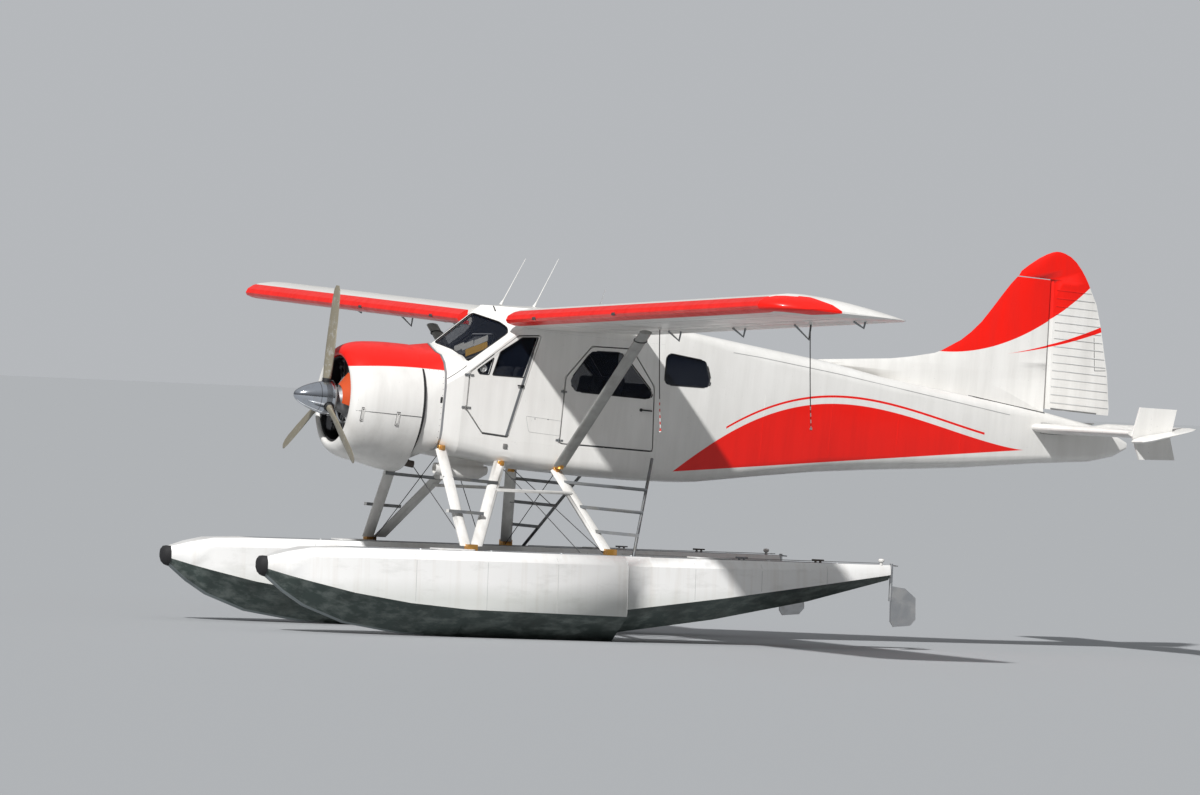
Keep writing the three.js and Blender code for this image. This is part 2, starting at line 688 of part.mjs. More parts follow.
function rudderSolid() {
  // height, leading edge (empty where it is the hinge nose), trailing edge, half thickness
  const heights = [
    [702, null, 9598, 40], [780, null, 9597, 39], [1151, null, 9536, 37], [1656, null, 9405, 33],
    [1897, null, 9328, 31], [2067, null, 9233, 30], [2122, null, 9203, 29], [2122.5, 8346, 9203, 29],
    [2180, 8376, 9166, 27], [2250, 8458, 9115, 24], [2337, 8574, 9035, 19], [2389, 8664, 8962, 14],
    [2420, 8735, 8885, 8], [2431, 8780, 8830, 5],
  ];
  return loft(heights.map(([z, lead, trail, half]) => {
    const hinge = hingeLineY(z);
    const front = lead ?? hinge - rudderHinge.noseR;
    const side = [[0, 0], [0.08, 0.62], [0.3, 1], [0.65, 0.62], [1, 0.12]];
    const right = side.map(([f, h]) => [h * half, front + f * (trail - front), z]);
    const left = side.slice(1).reverse().map(([f, h]) => [-h * half, front + f * (trail - front), z]);
    return [...right, ...left];
  }));
}

// Float gear. Strut ends on the deck are given level, as [x, y]
const feet = { front: [floatX, 1510], rear: [floatX, 3100] };
const fittings = [[600, 1485, -430], [600, 2169, -500], [600, 2816, -520]];
const legSize = [128, 52];
const shoe = { half: 55, height: 62, leg: 44 };

function legFromFitting(fitting, foot, grow = 0) {
  return strut(fitting, onAirframe([...foot, deckZ - 20]), ...legSize, grow)
    .trimByPlane(floorNormal, deckOffset + shoe.leg);
}

// The small shoe that a leg or a pair of legs stands on
function legShoe(y) {
  const square = [-shoe.half, shoe.half];
  return placedOnDeck(block(square.map((x) => floatX + x), square, [0, shoe.height]), y);
}

// The legs of the front pair, which meet at one foot
function frontLegs(grow = 0) {
  return [-45, 45].map((dy, i) => legFromFitting(fittings[i], [feet.front[0], feet.front[1] + dy], grow));
}

function frontFloatStrut() {
  const treads = [
    rungBetween([800, 1440, -722], [800, 2075, -722]),
    rungBetween([1150, 1400, -1068], [1150, 1800, -1062]),
  ];
  return joined([...frontLegs(), legShoe(feet.front[1]), ...treads]).subtract(frontHullGrown);
}

const tread = { half: 38, thick: 17 };

// A flat tread between two points
function rungBetween(from, to) {
  const { half, thick } = tread;
  return loft([from, to].map(([x, y, z]) => [
    [x - half, y, z - thick], [x + half, y, z - thick], [x + half, y, z + thick], [x - half, y, z + thick],
  ]));
}

function placedOnDeck(solid, y) {
  const [, airY, airZ] = onAirframe([0, y, deckZ + touchGap]);
  return solidOf(geometryOf(solid).rotateX(restPitch).translate(0, airY, airZ));
}

// The rear leg carries the plank that runs forward to the front pair
function rearFloatStrut() {
  const plank = rungBetween([835, 2010, -800], [835, 2915, -752]).subtract(joined(frontLegs(touchGap)));
  const whole = joined([legFromFitting(fittings[2], feet.rear), legShoe(feet.rear[1]), plank]);
  return mainBody(whole.subtract(frontHullGrown));
}

// Boarding ladder: a rail from the deck to the cabin door's sill, with treads forward to the rear leg
function ladder() {
  const foot = onAirframe([1500, 3330, deckZ - 20]);
  const head = [735, 3862, -300];
  const rail = strut(foot, head, 34, 34).trimByPlane(floorNormal, deckOffset);
  const at = (z) => {
    const t = (z - foot[2]) / (head[2] - foot[2]);
    return [lerp(foot[0], head[0], t), lerp(foot[1], head[1], t), z];
  };
  const legAt = (z) => {
    const low = onAirframe([...feet.rear, deckZ]);
    const t = (z - low[2]) / (fittings[2][2] - low[2]);
    return [lerp(low[0], fittings[2][0], t), lerp(low[1], fittings[2][1], t), z];
  };
  const treads = [-640, -885, -1130].map((z) => rungBetween(legAt(z), at(z)));
  return mainBody(joined([rail, ...treads]).subtract(legFromFitting(fittings[2], feet.rear, touchGap)));
}

// An air duct slung below the belly on a short saddle
function bellyDuct() {
  const x = 300;
  const ring = (y, radius, z) => circleRing(y, radius, z, x);
  const outer = loft([
    ring(1555, 60, -628), ring(1680, 74, -637), ring(1850, 80, -640), ring(2050, 78, -632), ring(2150, 46, -600),
  ]);
  const saddle = block([x - 34, x + 34], [1620, 2100], [-600, -440]);
  const mouth = loft([ring(1545, 50, -628), ring(1740, 50, -634)]);
  return joined([outer, saddle]).subtract(mouth).subtract(frontHullGrown);
}

// A handling rope hanging from its lug, with a knot at its end
function handlingRope(ring) {
  const [x, y, z] = levelOf(offWing(ring));
  const points = ropeRoute.map(([dx, dy, down]) => new THREE.Vector3(x + dx, y + dy, z - 2 * touchGap - down));
  const path = new THREE.CatmullRomCurve3(points);
  const circle = new THREE.EllipseCurve(0, 0, rope.radius, rope.radius).getPoints(8);
  const section = new THREE.Shape(circle.slice(0, -1));
  const line = new THREE.ExtrudeGeometry(section, { steps: rope.steps, extrudePath: path, bevelEnabled: false });
  const end = points[points.length - 1];
  const knot = new THREE.SphereGeometry(rope.knotR, 12, 8).scale(1, 1, 1.4).translate(end.x, end.y, end.z);
  return solidOf(line).add(solidOf(knot));
}

// Floats, level
// The deck is a little thicker where the strut feet and the ladder stand
// y, keel, chine, gunwale, deck, half width
const floatStations = [
  [-800, 575, 650, 720, 775, 95], [-590, 410, 590, 760, 838, 190], [-360, 272, 535, 790, 885, 262],
  [90, 110, 437, 800, 902, 345], [700, 20, 350, 805, walkwayZ, 388], [1358, 0, 300, 808, walkwayZ, 400],
  [1360, 0, 300, 808, deckZ, 400], [3150, 0, 275, 808, deckZ, 400], [3152, 90, 350, 808, deckZ, 392],
  [3450, 135, 389, 808, deckZ, 373], [3452, 135, 389, 808, walkwayZ, 373], [4300, 262, 500, 810, walkwayZ, 320],
  [5400, 487, 660, 822, walkwayZ, 215], [6350, 745, 800, 850, walkwayZ, 80],
];

function floatRing([y, keel, chine, gunwale, deck, half], grow = 0, x = floatX) {
  const keelHalf = Math.min(25, half * 0.25);
  const right = [
    [keelHalf, keel - grow], [half + grow, chine], [half * 0.98 + grow, gunwale], [half * 0.72, deck + grow],
  ];
  const left = right.slice().reverse().map(([dx, z]) => [-dx, z]);
  return [...right, ...left].map(([dx, z]) => [x + dx, y, z]);
}

const floatSolid = (grow = 0) => loft(floatStations.map((station) => floatRing(station, grow)));

function bowBumper() {
  return loft([
    floatRing([-876, 612, 662, 712, 742, 60]), floatRing([-840, 580, 648, 722, 776, 92]),
    floatRing([-800 - touchGap, 566, 642, 726, 782, 102]),
  ]);
}

function spreaderBar(y) {
  const bar = new THREE.CylinderGeometry(38, 38, 2 * floatX, 16).rotateZ(Math.PI / 2).translate(0, y, 790);
  const left = floatSolid(touchGap);
  return solidOf(bar).subtract(left).subtract(solidOf(mirroredX(geometryOf(left))))
    .subtract(block([floatX - 60, 2000], [y - 100, y + 100], [600, 900]))
    .subtract(block([-2000, 60 - floatX], [y - 100, y + 100], [600, 900]));
}

const waterHingeY = 6392;

function waterRudder() {
  const post = new THREE.CylinderGeometry(18, 18, 400, 12)
    .rotateX(Math.PI / 2)
    .translate(floatX, waterHingeY, 720);
  const outline = [
    [6392, 560], [6400, 300], [6440, 245], [6640, 262], [6700, 330], [6690, 560], [6560, 660], [6392, 680],
  ];
  return solidOf(post).add(sidePrism(outline, floatX - 8, floatX + 8));
}

// Cabin furniture
function seat(x, width, y, depth, floorGap = touchGap) {
  const low = cabin.floorZ + floorGap;
  const base = block([x - width * 0.38, x + width * 0.38], [y + 40, y + depth - 60], [low, low + 160]);
  const cushion = block([x - width / 2, x + width / 2], [y, y + depth], [low + 159, low + 270]);
  const leanBack = sidePrism([
    [y + depth - 100, low + 269], [y + depth, low + 200],
    [y + depth + 110, low + 830], [y + depth + 20, low + 840],
  ], x - width / 2, x + width / 2);
  return joined([base, cushion, leanBack]);
}

function instrumentPanel() {
  const outline = [[1700, 140], [1740, 140], [1760, 470], [1600, 520], [1600, 480], [1700, 450]];
  return sidePrism(outline, -540, 540).intersect(noseOuter(-wall - 6));
}

// Airframe pieces
add('engine_cowl', engineCowl(), 'white');
add('engine', engineBlock(), 'engine');
add('accessory_cowl', accessoryCowl(), 'white');
add('firewall', firewallPlate(), 'steel');
add('propeller', propeller(), 'blade');
add('spinner', spinner(), 'polished');
add('cabin_front', cabinFront(), 'white');
add('cabin_floor', cabinFloor(), 'white');
add('cabin_roof', cabinRoof(), 'white');
addPair('cabin_side', cabinSide(), 'white');
addPair('crew_door', doorLeaf(crewDoor, crewDoorR, crewPanes, crewPaneR, crewGlass), 'white');
addPair('cabin_door', doorLeaf(cabinDoor, cabinDoorR, [cabinPane], cabinPaneR, cabinGlass), 'white');
addPair('crew_window', glassSheet(crewGlass, crewPaneR), 'glass');
addPair('cabin_window', glassSheet(cabinGlass, cabinPaneR), 'glass');
add('rear_fuselage', rearFuselage(), 'white');
addPair('rear_window', rearWindow(), 'glass');
addPair('windshield', windshieldSlab(offset(windshieldPane, -0.6), -20, -12), 'glass');
add('fin', finSolid(), 'white');
add('rudder', rudderSolid(), 'white');
addPair('tailplane', tailplane(), 'white');
addPair('wing_strut', wingStrut(), 'white');
addPair('front_float_strut', frontFloatStrut(), 'white');
addPair('rear_float_strut', rearFloatStrut(), 'white');
addPair('ladder', ladder(), 'steel');
add('belly_duct', bellyDuct(), 'white');
addPair('front_seat', seat(300, 480, 2020, 420), 'seat');
add('middle_bench', seat(0, 1080, 3050, 420), 'seat');
add('rear_bench', seat(0, 900, 3960, 400, 4), 'seat');
add('instrument_panel', instrumentPanel(), 'panel');

// Elevators, parked with their trailing edges up
for (const mesh of addPair('elevator', elevator(), 'white')) {
  mesh.position.set(0, tail.hingeY, tail.hingeZ);
  mesh.rotation.x = tail.parkedUp;
}

// Wings, flaps and ailerons on their dihedral
const wingPieces = [
  ['wing', wingFixed()],
  ['flap', trailingPiece(wingBays.flapIn, wingBays.flapOut)],
  ['aileron', trailingPiece(wingBays.aileronIn, wingBays.aileronOut)],
];
for (const [side, sign] of [['left', 1], ['right', -1]]) {
  const panel = new THREE.Group();
  panel.position.set(sign * wing.root, 0, wing.chordZ);
  panel.rotation.y = -sign * dihedral;
  airframe.add(panel);
  for (const [name, solid] of wingPieces) {
    const geometry = geometryOf(solid);
    add(`${name}_${side}`, sign > 0 ? geometry : mirroredX(geometry), 'white', panel);
  }
}

// Float pieces
addPair('float', floatSolid(), 'white', floatGroup);
addPair('bow_bumper', bowBumper(), 'rubber', floatGroup);
addPair('water_rudder', waterRudder(), 'steel', floatGroup);
for (const [place, ring] of Object.entries(wingRings)) {
  add(`wing_rope_${place}`, handlingRope(ring), 'rope', floatGroup);
}
add('front_spreader_bar', spreaderBar(feet.front[1]), 'steel', floatGroup);
add('rear_spreader_bar', spreaderBar(feet.rear[1]), 'steel', floatGroup);

export default group;
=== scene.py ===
import json
import math
import bpy
from mathutils import Matrix, Vector

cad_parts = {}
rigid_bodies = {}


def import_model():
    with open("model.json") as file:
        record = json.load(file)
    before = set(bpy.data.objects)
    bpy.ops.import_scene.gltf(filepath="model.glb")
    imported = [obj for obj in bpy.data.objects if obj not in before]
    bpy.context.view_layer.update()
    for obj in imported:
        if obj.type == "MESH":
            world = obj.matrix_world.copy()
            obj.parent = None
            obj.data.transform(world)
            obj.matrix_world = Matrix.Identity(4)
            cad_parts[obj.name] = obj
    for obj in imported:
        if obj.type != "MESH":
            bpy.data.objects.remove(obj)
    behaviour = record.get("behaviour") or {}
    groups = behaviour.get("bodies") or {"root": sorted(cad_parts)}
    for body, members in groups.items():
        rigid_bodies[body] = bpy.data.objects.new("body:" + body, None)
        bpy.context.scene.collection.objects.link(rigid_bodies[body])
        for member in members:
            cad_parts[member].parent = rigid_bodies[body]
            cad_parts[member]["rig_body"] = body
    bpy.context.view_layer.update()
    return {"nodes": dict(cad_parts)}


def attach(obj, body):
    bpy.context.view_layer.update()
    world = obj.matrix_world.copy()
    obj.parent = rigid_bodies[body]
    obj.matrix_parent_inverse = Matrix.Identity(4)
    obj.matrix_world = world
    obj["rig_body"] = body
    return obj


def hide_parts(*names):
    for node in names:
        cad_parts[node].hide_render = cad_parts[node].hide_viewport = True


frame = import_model()

# Places. Airframe measures run aft from the spinner's tip and up from the thrust line, in metres
REST_PITCH = math.radians(3.369)
THRUST_HEIGHT = 2.458
MIDDLE_STATION = 4.49118
WING_ROOT = 0.661
CHORD_HEIGHT = 1.002
LEADING_EDGE = 2.05
DIHEDRAL = math.radians(2)
FLOAT_X = 1.413
DECK = 0.908
COWL_REAR = 1.217
COWL_RADIUS = 0.652
COWL_SPLIT = -0.112
LATCH_TURN = 0.245
PROPELLER = 0.353
HUB = Vector((0, PROPELLER, 0))
BLADES = 3
BLADE_TURNS = [Matrix.Rotation(math.radians(3) + i * math.tau / BLADES, 4, "Y") for i in range(BLADES)]
CYLINDERS = 9
CYLINDER_STATION = 0.76
CASE_BOLTS = 12
RIB_PITCH = 0.205
ENDS = (("left", 1), ("right", -1))

AIRFRAME = Matrix.Translation((0, -MIDDLE_STATION, THRUST_HEIGHT)) @ Matrix.Rotation(-REST_PITCH, 4, "X")
FLOATS = Matrix.Translation((0, -MIDDLE_STATION, 0))
WING = (
    AIRFRAME
    @ Matrix.Translation((WING_ROOT, 0, CHORD_HEIGHT))
    @ Matrix.Rotation(-DIHEDRAL, 4, "Y")
)
MIRROR = Matrix.Scale(-1, 4, (1, 0, 0))
WORLD = Matrix.Identity(4)

# The key light travels down, aft and to starboard
LIGHT_PATH = Vector((-0.55, 0.53, -0.65))


# Modelling
def take(piece):
    """Selects this piece alone"""
    bpy.ops.object.select_all(action="DESELECT")
    piece.select_set(True)
    bpy.context.view_layer.objects.active = piece
    return piece


def placed(name):
    """Names the object just added and puts its place into its mesh"""
    piece = bpy.context.active_object
    piece.name = name
    bpy.ops.object.transform_apply(location=True, rotation=True, scale=True)
    return piece


def open_mesh(piece):
    """Goes into edit mode with all of a piece selected"""
    take(piece)
    bpy.ops.object.mode_set(mode="EDIT")
    bpy.ops.mesh.select_all(action="SELECT")


def close_mesh(piece):
    bpy.ops.object.mode_set(mode="OBJECT")
    return piece


def choose_faces(piece, test):
    """In edit mode, selects the faces whose centre and normal pass a test"""
    bpy.ops.mesh.select_all(action="DESELECT")
    bpy.ops.object.mode_set(mode="OBJECT")
    for face in piece.data.polygons:
        face.select = test(face.center, face.normal)
    bpy.ops.object.mode_set(mode="EDIT")


def block(name, low, high, bevel=0.0):
    """A box between two corners, with rounded edges where it has a bevel"""
    low, high = Vector(low), Vector(high)
    bpy.ops.mesh.primitive_cube_add(size=1, location=(low + high) / 2, scale=high - low)
    piece = placed(name)
    if bevel:
        open_mesh(piece)
        bpy.ops.mesh.bevel(offset=bevel, segments=3, affect="EDGES")
        close_mesh(piece)
    return piece


def rod(name, start, end, radius, end_radius=None, sides=14):
    """A straight round bar, tapered where it has another end radius"""
    start, end = Vector(start), Vector(end)
    way = end - start
    bpy.ops.mesh.primitive_cone_add(
        vertices=sides, radius1=radius, radius2=radius if end_radius is None else end_radius,
        depth=way.length, location=(start + end) / 2, rotation=way.to_track_quat("Z", "Y").to_euler(),
    )
    return placed(name)


def chain(name, points):
    """One vertex extruded through the points, left open in edit mode"""
    points = [Vector(point) for point in points]
    bpy.ops.mesh.primitive_plane_add(size=0.01, location=points[0])
    piece = placed(name)
    bpy.ops.object.mode_set(mode="EDIT")
    bpy.ops.mesh.merge(type="CENTER")
    for before, after in zip(points, points[1:]):
        bpy.ops.mesh.extrude_vertices_move(TRANSFORM_OT_translate={"value": after - before})
    bpy.ops.mesh.select_all(action="SELECT")
    return piece


def face_of(name, outline, corner=0.0):
    """A flat face with rounded corners, left open in edit mode"""
    piece = chain(name, [*outline, outline[0]])
    bpy.ops.mesh.remove_doubles(threshold=1e-5)
    bpy.ops.mesh.edge_face_add()
    if corner:
        bpy.ops.mesh.bevel(offset=corner, segments=4, affect="VERTICES")
    bpy.ops.mesh.select_all(action="SELECT")
    return piece


def thicken(piece, depth):
    """Draws the open face out by a depth and closes the mesh"""
    bpy.ops.mesh.select_all(action="SELECT")
    bpy.ops.mesh.extrude_region_move(TRANSFORM_OT_translate={"value": depth})
    bpy.ops.mesh.select_all(action="SELECT")
    bpy.ops.mesh.normals_make_consistent(inside=False)
    return close_mesh(piece)


def plate(name, outline, depth, corner=0.0):
    """A flat sheet with an outline, drawn out by a depth"""
    return thicken(face_of(name, outline, corner), depth)


def rim(name, outline, width, depth, corner=0.0):
    """A flat border along the inside of an outline"""
    piece = face_of(name, outline, corner)
    bpy.ops.mesh.inset(thickness=width)
    bpy.ops.mesh.delete(type="FACE")
    return thicken(piece, depth)


def turned(name, points, centre=(0, 0, 0), axis=(0, 1, 0), steps=48):
    """A profile spun round an axis"""
    piece = chain(name, points)
    bpy.ops.mesh.spin(steps=steps, angle=math.tau, center=centre, axis=axis)
    bpy.ops.mesh.select_all(action="SELECT")
    bpy.ops.mesh.remove_doubles(threshold=1e-5)
    bpy.ops.mesh.normals_make_consistent(inside=False)
    return close_mesh(piece)


def between(rows, key):
    """A value read off rows of rising keys and values, straight between them"""
    for (key0, value0), (key1, value1) in zip(rows, rows[1:]):
        if key <= key1:
            return value0 + (value1 - value0) * (key - key0) / (key1 - key0)
    return rows[-1][1]


def spun(name, profile, steps=48):
    """A ring or shell from its radii and stations along the thrust line"""
    return turned(name, [(r, y, 0) for r, y in profile], steps=steps)


def oval(steps, wide, high=None):
    """The places of a closed oval in its own two measures, or of a circle"""
    angles = [i / steps * math.tau for i in range(steps + 1)]
    return [(wide * math.cos(a), (high or wide) * math.sin(a)) for a in angles]


def pull(way, reach):
    """In edit mode, moves the chosen faces, and those within reach less and less"""
    bpy.ops.transform.translate(
        value=way, use_proportional_edit=True, proportional_edit_falloff="SMOOTH", proportional_size=reach,
    )


def eased(points, steps=4):
    """More points on a smooth line through the ones given"""
    points = [Vector(point) for point in points]
    line = []
    for i in range(len(points) - 1):
        before, start = points[max(i - 1, 0)], points[i]
        end, after = points[i + 1], points[min(i + 2, len(points) - 1)]
        for k in range(steps):
            t = k / steps
            line.append(0.5 * (
                2 * start + (end - before) * t + (2 * before - 5 * start + 4 * end - after) * t ** 2
                + (3 * start - before - 3 * end + after) * t ** 3
            ))
    return [*line, points[-1]]


def wire(name, points, radius, sides=3):
    """A round bar along a line of points"""
    curve = bpy.data.curves.new(name, "CURVE")
    curve.dimensions = "3D"
    curve.bevel_depth = radius
    curve.bevel_resolution = sides
    curve.use_fill_caps = True
    spline = curve.splines.new("POLY")
    spline.points.add(len(points) - 1)
    for point, place in zip(spline.points, points):
        point.co = (*place, 1)
    piece = bpy.data.objects.new(name, curve)
    bpy.context.scene.collection.objects.link(piece)
    take(piece)
    bpy.ops.object.convert(target="MESH")
    return bpy.context.active_object


def joined(name, pieces):
    """Makes several pieces one, under the first one's origin"""
    whole = take(pieces[0])
    for piece in pieces[1:]:
        piece.select_set(True)
    if len(pieces) > 1:
        bpy.ops.object.join()
    whole.name = name
    return whole


def moved(piece, matrix):
    """Moves a piece's mesh, and turns it right side out again if that mirrored it"""
    take(piece)
    piece.matrix_world = matrix
    bpy.ops.object.transform_apply(location=True, rotation=True, scale=True)
    if matrix.determinant() < 0:
        open_mesh(piece)
        bpy.ops.mesh.normals_make_consistent(inside=False)
        close_mesh(piece)
    return piece


def copied(piece, name, matrix=WORLD):
    """A copy with its own mesh, moved by a matrix"""
    take(piece)
    bpy.ops.object.duplicate()
    copy = bpy.context.active_object
    copy.name = name
    copy.parent = None
    return moved(copy, matrix)


def changed(piece, kind, **settings):
    """Adds a modifier and applies it"""
    take(piece)
    bpy.ops.object.modifier_add(type=kind)
    modifier = piece.modifiers[-1]
    for key, value in settings.items():
        setattr(modifier, key, value)
    bpy.ops.object.modifier_apply(modifier=modifier.name)
    return piece


def smoothed(piece, angle):
    """Smooth shading up to an edge angle"""
    take(piece)
    bpy.ops.object.shade_smooth_by_angle(angle=math.radians(angle))
    return piece


def fitted(piece, look, body="airframe", place=AIRFRAME, smooth=32):
    """Puts a finished piece in its place, with its material, on its body"""
    moved(piece, place)
    if smooth:
        smoothed(piece, smooth)
    piece.data.materials.clear()
    piece.data.materials.append(LOOKS[look])
    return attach(piece, body)


def both_sides(piece, look, bodies=("airframe", "airframe"), place=AIRFRAME, smooth=32):
    """Fits a port piece and its mirror image, named _left and _right"""
    name = piece.name
    twin = copied(piece, f"{name}_right", MIRROR)
    piece.name = f"{name}_left"
    fitted(piece, look, bodies[0], place, smooth)
    fitted(moved(twin, MIRROR), look, bodies[1], MIRROR @ place, smooth)


def paint_faces(piece, look, test, place=AIRFRAME):
    """Gives the faces that pass a test, in a frame's own measures, another material"""
    piece.data.materials.append(LOOKS[look])
    back = place.inverted()
    turn = back.to_3x3()
    last = len(piece.data.materials) - 1
    for face in piece.data.polygons:
        if test(back @ face.center, turn @ face.normal):
            face.material_index = last


def skin(node, look, smooth=30):
    """A merged and smoothed copy of a CAD piece, which stands for it"""
    source = frame["nodes"][node]
    piece = bpy.data.objects.new(f"{node}_skin", source.data.copy())
    bpy.context.scene.collection.objects.link(piece)
    open_mesh(piece)
    bpy.ops.mesh.remove_doubles(threshold=2e-5)
    bpy.ops.mesh.dissolve_limited(angle_limit=math.radians(0.4))
    close_mesh(piece)
    fitted(piece, look, source["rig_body"], WORLD, smooth)
    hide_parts(node)
    return piece


def skins(nodes, look, **options):
    """Skins for several CAD pieces"""
    return [skin(node, look, **options) for node in nodes]


def pair(name):
    """The port and starboard names of a piece"""
    return [f"{name}_left", f"{name}_right"]


def struck(piece, a, b, side, place=AIRFRAME, along="x"):
    """Where a ray from one side meets a piece at two free measures, and the surface's way there"""
    far = 4.0
    start = Vector((side * far, a, b)) if along == "x" else Vector((a, b, side * far))
    way = Vector((-side, 0, 0)) if along == "x" else Vector((0, 0, -side))
    hit, point, normal, _ = piece.ray_cast(place @ start, place.to_3x3() @ way)
    return (point.copy(), normal.copy()) if hit else None


def stepped(line, steps):
    """A line's corners with evenly spaced points between them"""
    points = [line[0]]
    for (a0, b0), (a1, b1) in zip(line, line[1:]):
        points += [(a0 + (a1 - a0) * k / steps, b0 + (b1 - b0) * k / steps) for k in range(1, steps + 1)]
    return points


def runs(spots, least_up):
    """The unbroken stretches of struck places whose surface doesn't face down too far"""
    stretch = []
    for spot in (*spots, None):
        if spot and spot[1].z > least_up:
            stretch.append(spot[0])
        else:
            if len(stretch) > 1:
                yield stretch
            stretch = []


def seams(
    name, piece, lines, look="seam", sides=(1, -1), radius=0.003, place=AIRFRAME, along="x", steps=10,
    least_up=-2.0,
):
    """Beads or seams along lines on a piece's surface, as one piece riding with it"""
    bpy.context.view_layer.update()
    made = []
    for side in sides:
        for line in lines:
            spots = [struck(piece, a, b, side, place, along) for a, b in stepped(line, steps)]
            made += [wire(name, stretch, radius, sides=1) for stretch in runs(spots, least_up)]
    fitted(joined(name, made), look, piece["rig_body"], WORLD, smooth=60)


def studs(name, piece, rows, look="rib", sides=(1, -1), radius=0.005, place=AIRFRAME, along="x"):
    """Rivet or screw heads in rows (first, last, count) on a piece's surface, as one piece riding with it"""
    bpy.context.view_layer.update()
    spots = []
    for side in sides:
        for first, last, count in rows:
            spots += [struck(piece, a, b, side, place, along) for a, b in stepped([first, last], count - 1)]
    bpy.ops.object.select_all(action="DESELECT")
    bpy.ops.mesh.primitive_plane_add(size=0.01)
    heads = placed(name)
    bpy.ops.object.mode_set(mode="EDIT")
    bpy.ops.mesh.select_all(action="SELECT")
    bpy.ops.mesh.delete(type="VERT")
    for point, normal in filter(None, spots):
        bpy.ops.mesh.primitive_cone_add(
            vertices=8, radius1=radius, radius2=0.55 * radius, depth=0.7 * radius, location=point,
            rotation=normal.to_track_quat("Z", "Y").to_euler(),
        )
    close_mesh(heads)
    fitted(heads, look, piece["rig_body"], WORLD, smooth=30)


def rounded(outline, radius):
    """A closed outline with its corners drawn as curves"""
    steps = 4
    line = []
    for i, corner in enumerate(outline):
        corner = Vector(corner)
        before, after = Vector(outline[i - 1]) - corner, Vector(outline[(i + 1) % len(outline)]) - corner
        start = corner + before.normalized() * min(radius, before.length / 2)
        end = corner + after.normalized() * min(radius, after.length / 2)
        for k in range(steps + 1):
            t = k / steps
            line.append((1 - t) ** 2 * start + 2 * t * (1 - t) * corner + t * t * end)
    return [tuple(point) for point in (*line, line[0])]


def grown(outline, width):
    """An outline with each corner moved away from the middle"""
    middle = sum((Vector(point) for point in outline), Vector((0, 0))) / len(outline)
    return [tuple(Vector(point) + (Vector(point) - middle).normalized() * width) for point in outline]


def seal(name, pieces, outline, corner, look="rubber", radius=0.006, width=0.004):
    """A bead round an outline on the port piece, and on the starboard one"""
    line = rounded(grown(outline, width), corner)
    for piece, (end, side) in zip(pieces, ENDS):
        seams(f"{name}_{end}", piece, [line], look, (side,), radius, steps=2)


# Materials
class Finish:
    """The nodes of one material, made one call at a time"""

    def __init__(self, name, colour, roughness, metallic=0.0, place=AIRFRAME):
        self.material = bpy.data.materials.new(name)
        self.material.use_nodes = True
        self.tree = self.material.node_tree
        self.shader = self.tree.nodes["Principled BSDF"]
        self.shader.inputs["Metallic"].default_value = metallic
        self.shader.inputs["Roughness"].default_value = roughness
        self.colour = (*colour, 1)
        self.rough = roughness
        origin = self.tree.nodes.new("ShaderNodeTexCoord").outputs["Object"]
        back = place.inverted()
        turn = back.to_euler()
        self.where = self.add("Mapping", Vector=origin, Location=back.translation, Rotation=turn).outputs[0]
        self.xyz = self.add("SeparateXYZ", Vector=self.where).outputs

    def add(self, kind, **inputs):
        node = self.tree.nodes.new(f"ShaderNode{kind}")
        for key, value in inputs.items():
            self.feed(node.inputs[key.replace("_", " ")], value)
        return node

    def feed(self, socket, value):
        if isinstance(value, bpy.types.NodeSocket):
            self.tree.links.new(value, socket)
        else:
            socket.default_value = value

    def math(self, operation, *values):
        node = self.tree.nodes.new("ShaderNodeMath")
        node.operation = operation
        for socket, value in zip(node.inputs, values):
            self.feed(socket, value)
        return node.outputs[0]

    def plus(self, a, b):
        return self.math("ADD", a, b)

    def minus(self, a, b):
        return self.math("SUBTRACT", a, b)

    def times(self, a, b):
        return self.math("MULTIPLY", a, b)

    def most(self, a, b):
        return self.math("MAXIMUM", a, b)

    def least(self, a, b):
        return self.math("MINIMUM", a, b)

    def over(self, value, edge=0.0, soft=0.0015):
        """1 where the value is over an edge, 0 where it is under"""
        node = self.add("MapRange", Value=value, From_Min=edge - soft, From_Max=edge + soft)
        return node.outputs["Result"]

    def near(self, value, middle, half):
        """1 on a line, where the value is within half of the middle"""
        return self.over(self.minus(half, self.math("ABSOLUTE", self.minus(value, middle))))

    def noise(self, scale, detail=4.0, rough=0.55, stretch=(1, 1, 1)):
        vector = self.add("Mapping", Vector=self.where, Scale=stretch).outputs[0]
        return self.add("TexNoise", Vector=vector, Scale=scale, Detail=detail, Roughness=rough).outputs[0]

    def mix(self, share, first, second, how="MIX"):
        node = self.tree.nodes.new("ShaderNodeMix")
        node.data_type = "RGBA"
        node.blend_type = how
        for place, value in ((0, share), (6, first), (7, second)):
            self.feed(node.inputs[place], value)
        return node.outputs[2]

    def tint(self, share, colour):
        """Lays another colour over what there is so far"""
        self.colour = self.mix(share, self.colour, (*colour, 1))
        return self

    def stain(self, share, tone):
        """Darkens what there is so far by a tone"""
        self.colour = self.mix(share, self.colour, (*tone, 1), "MULTIPLY")
        return self

    def rougher(self, share, roughness):
        """Moves the roughness towards another value by a share from 0 to 1"""
        self.rough = self.plus(self.times(share, self.minus(roughness, self.rough)), self.rough)
        return self

    def bumps(self, height, strength, distance):
        before = self.shader.inputs["Normal"]
        node = self.add("Bump", Strength=strength, Distance=distance, Height=height)
        if before.is_linked:
            self.tree.links.new(before.links[0].from_socket, node.inputs["Normal"])
        self.tree.links.new(node.outputs[0], before)
        return self

    def set(self, **inputs):
        for key, value in inputs.items():
            self.shader.inputs[key.replace("_", " ")].default_value = value
        return self

    def done(self):
        self.feed(self.shader.inputs["Base Color"], self.colour)
        self.feed(self.shader.inputs["Roughness"], self.rough)
        return self.material


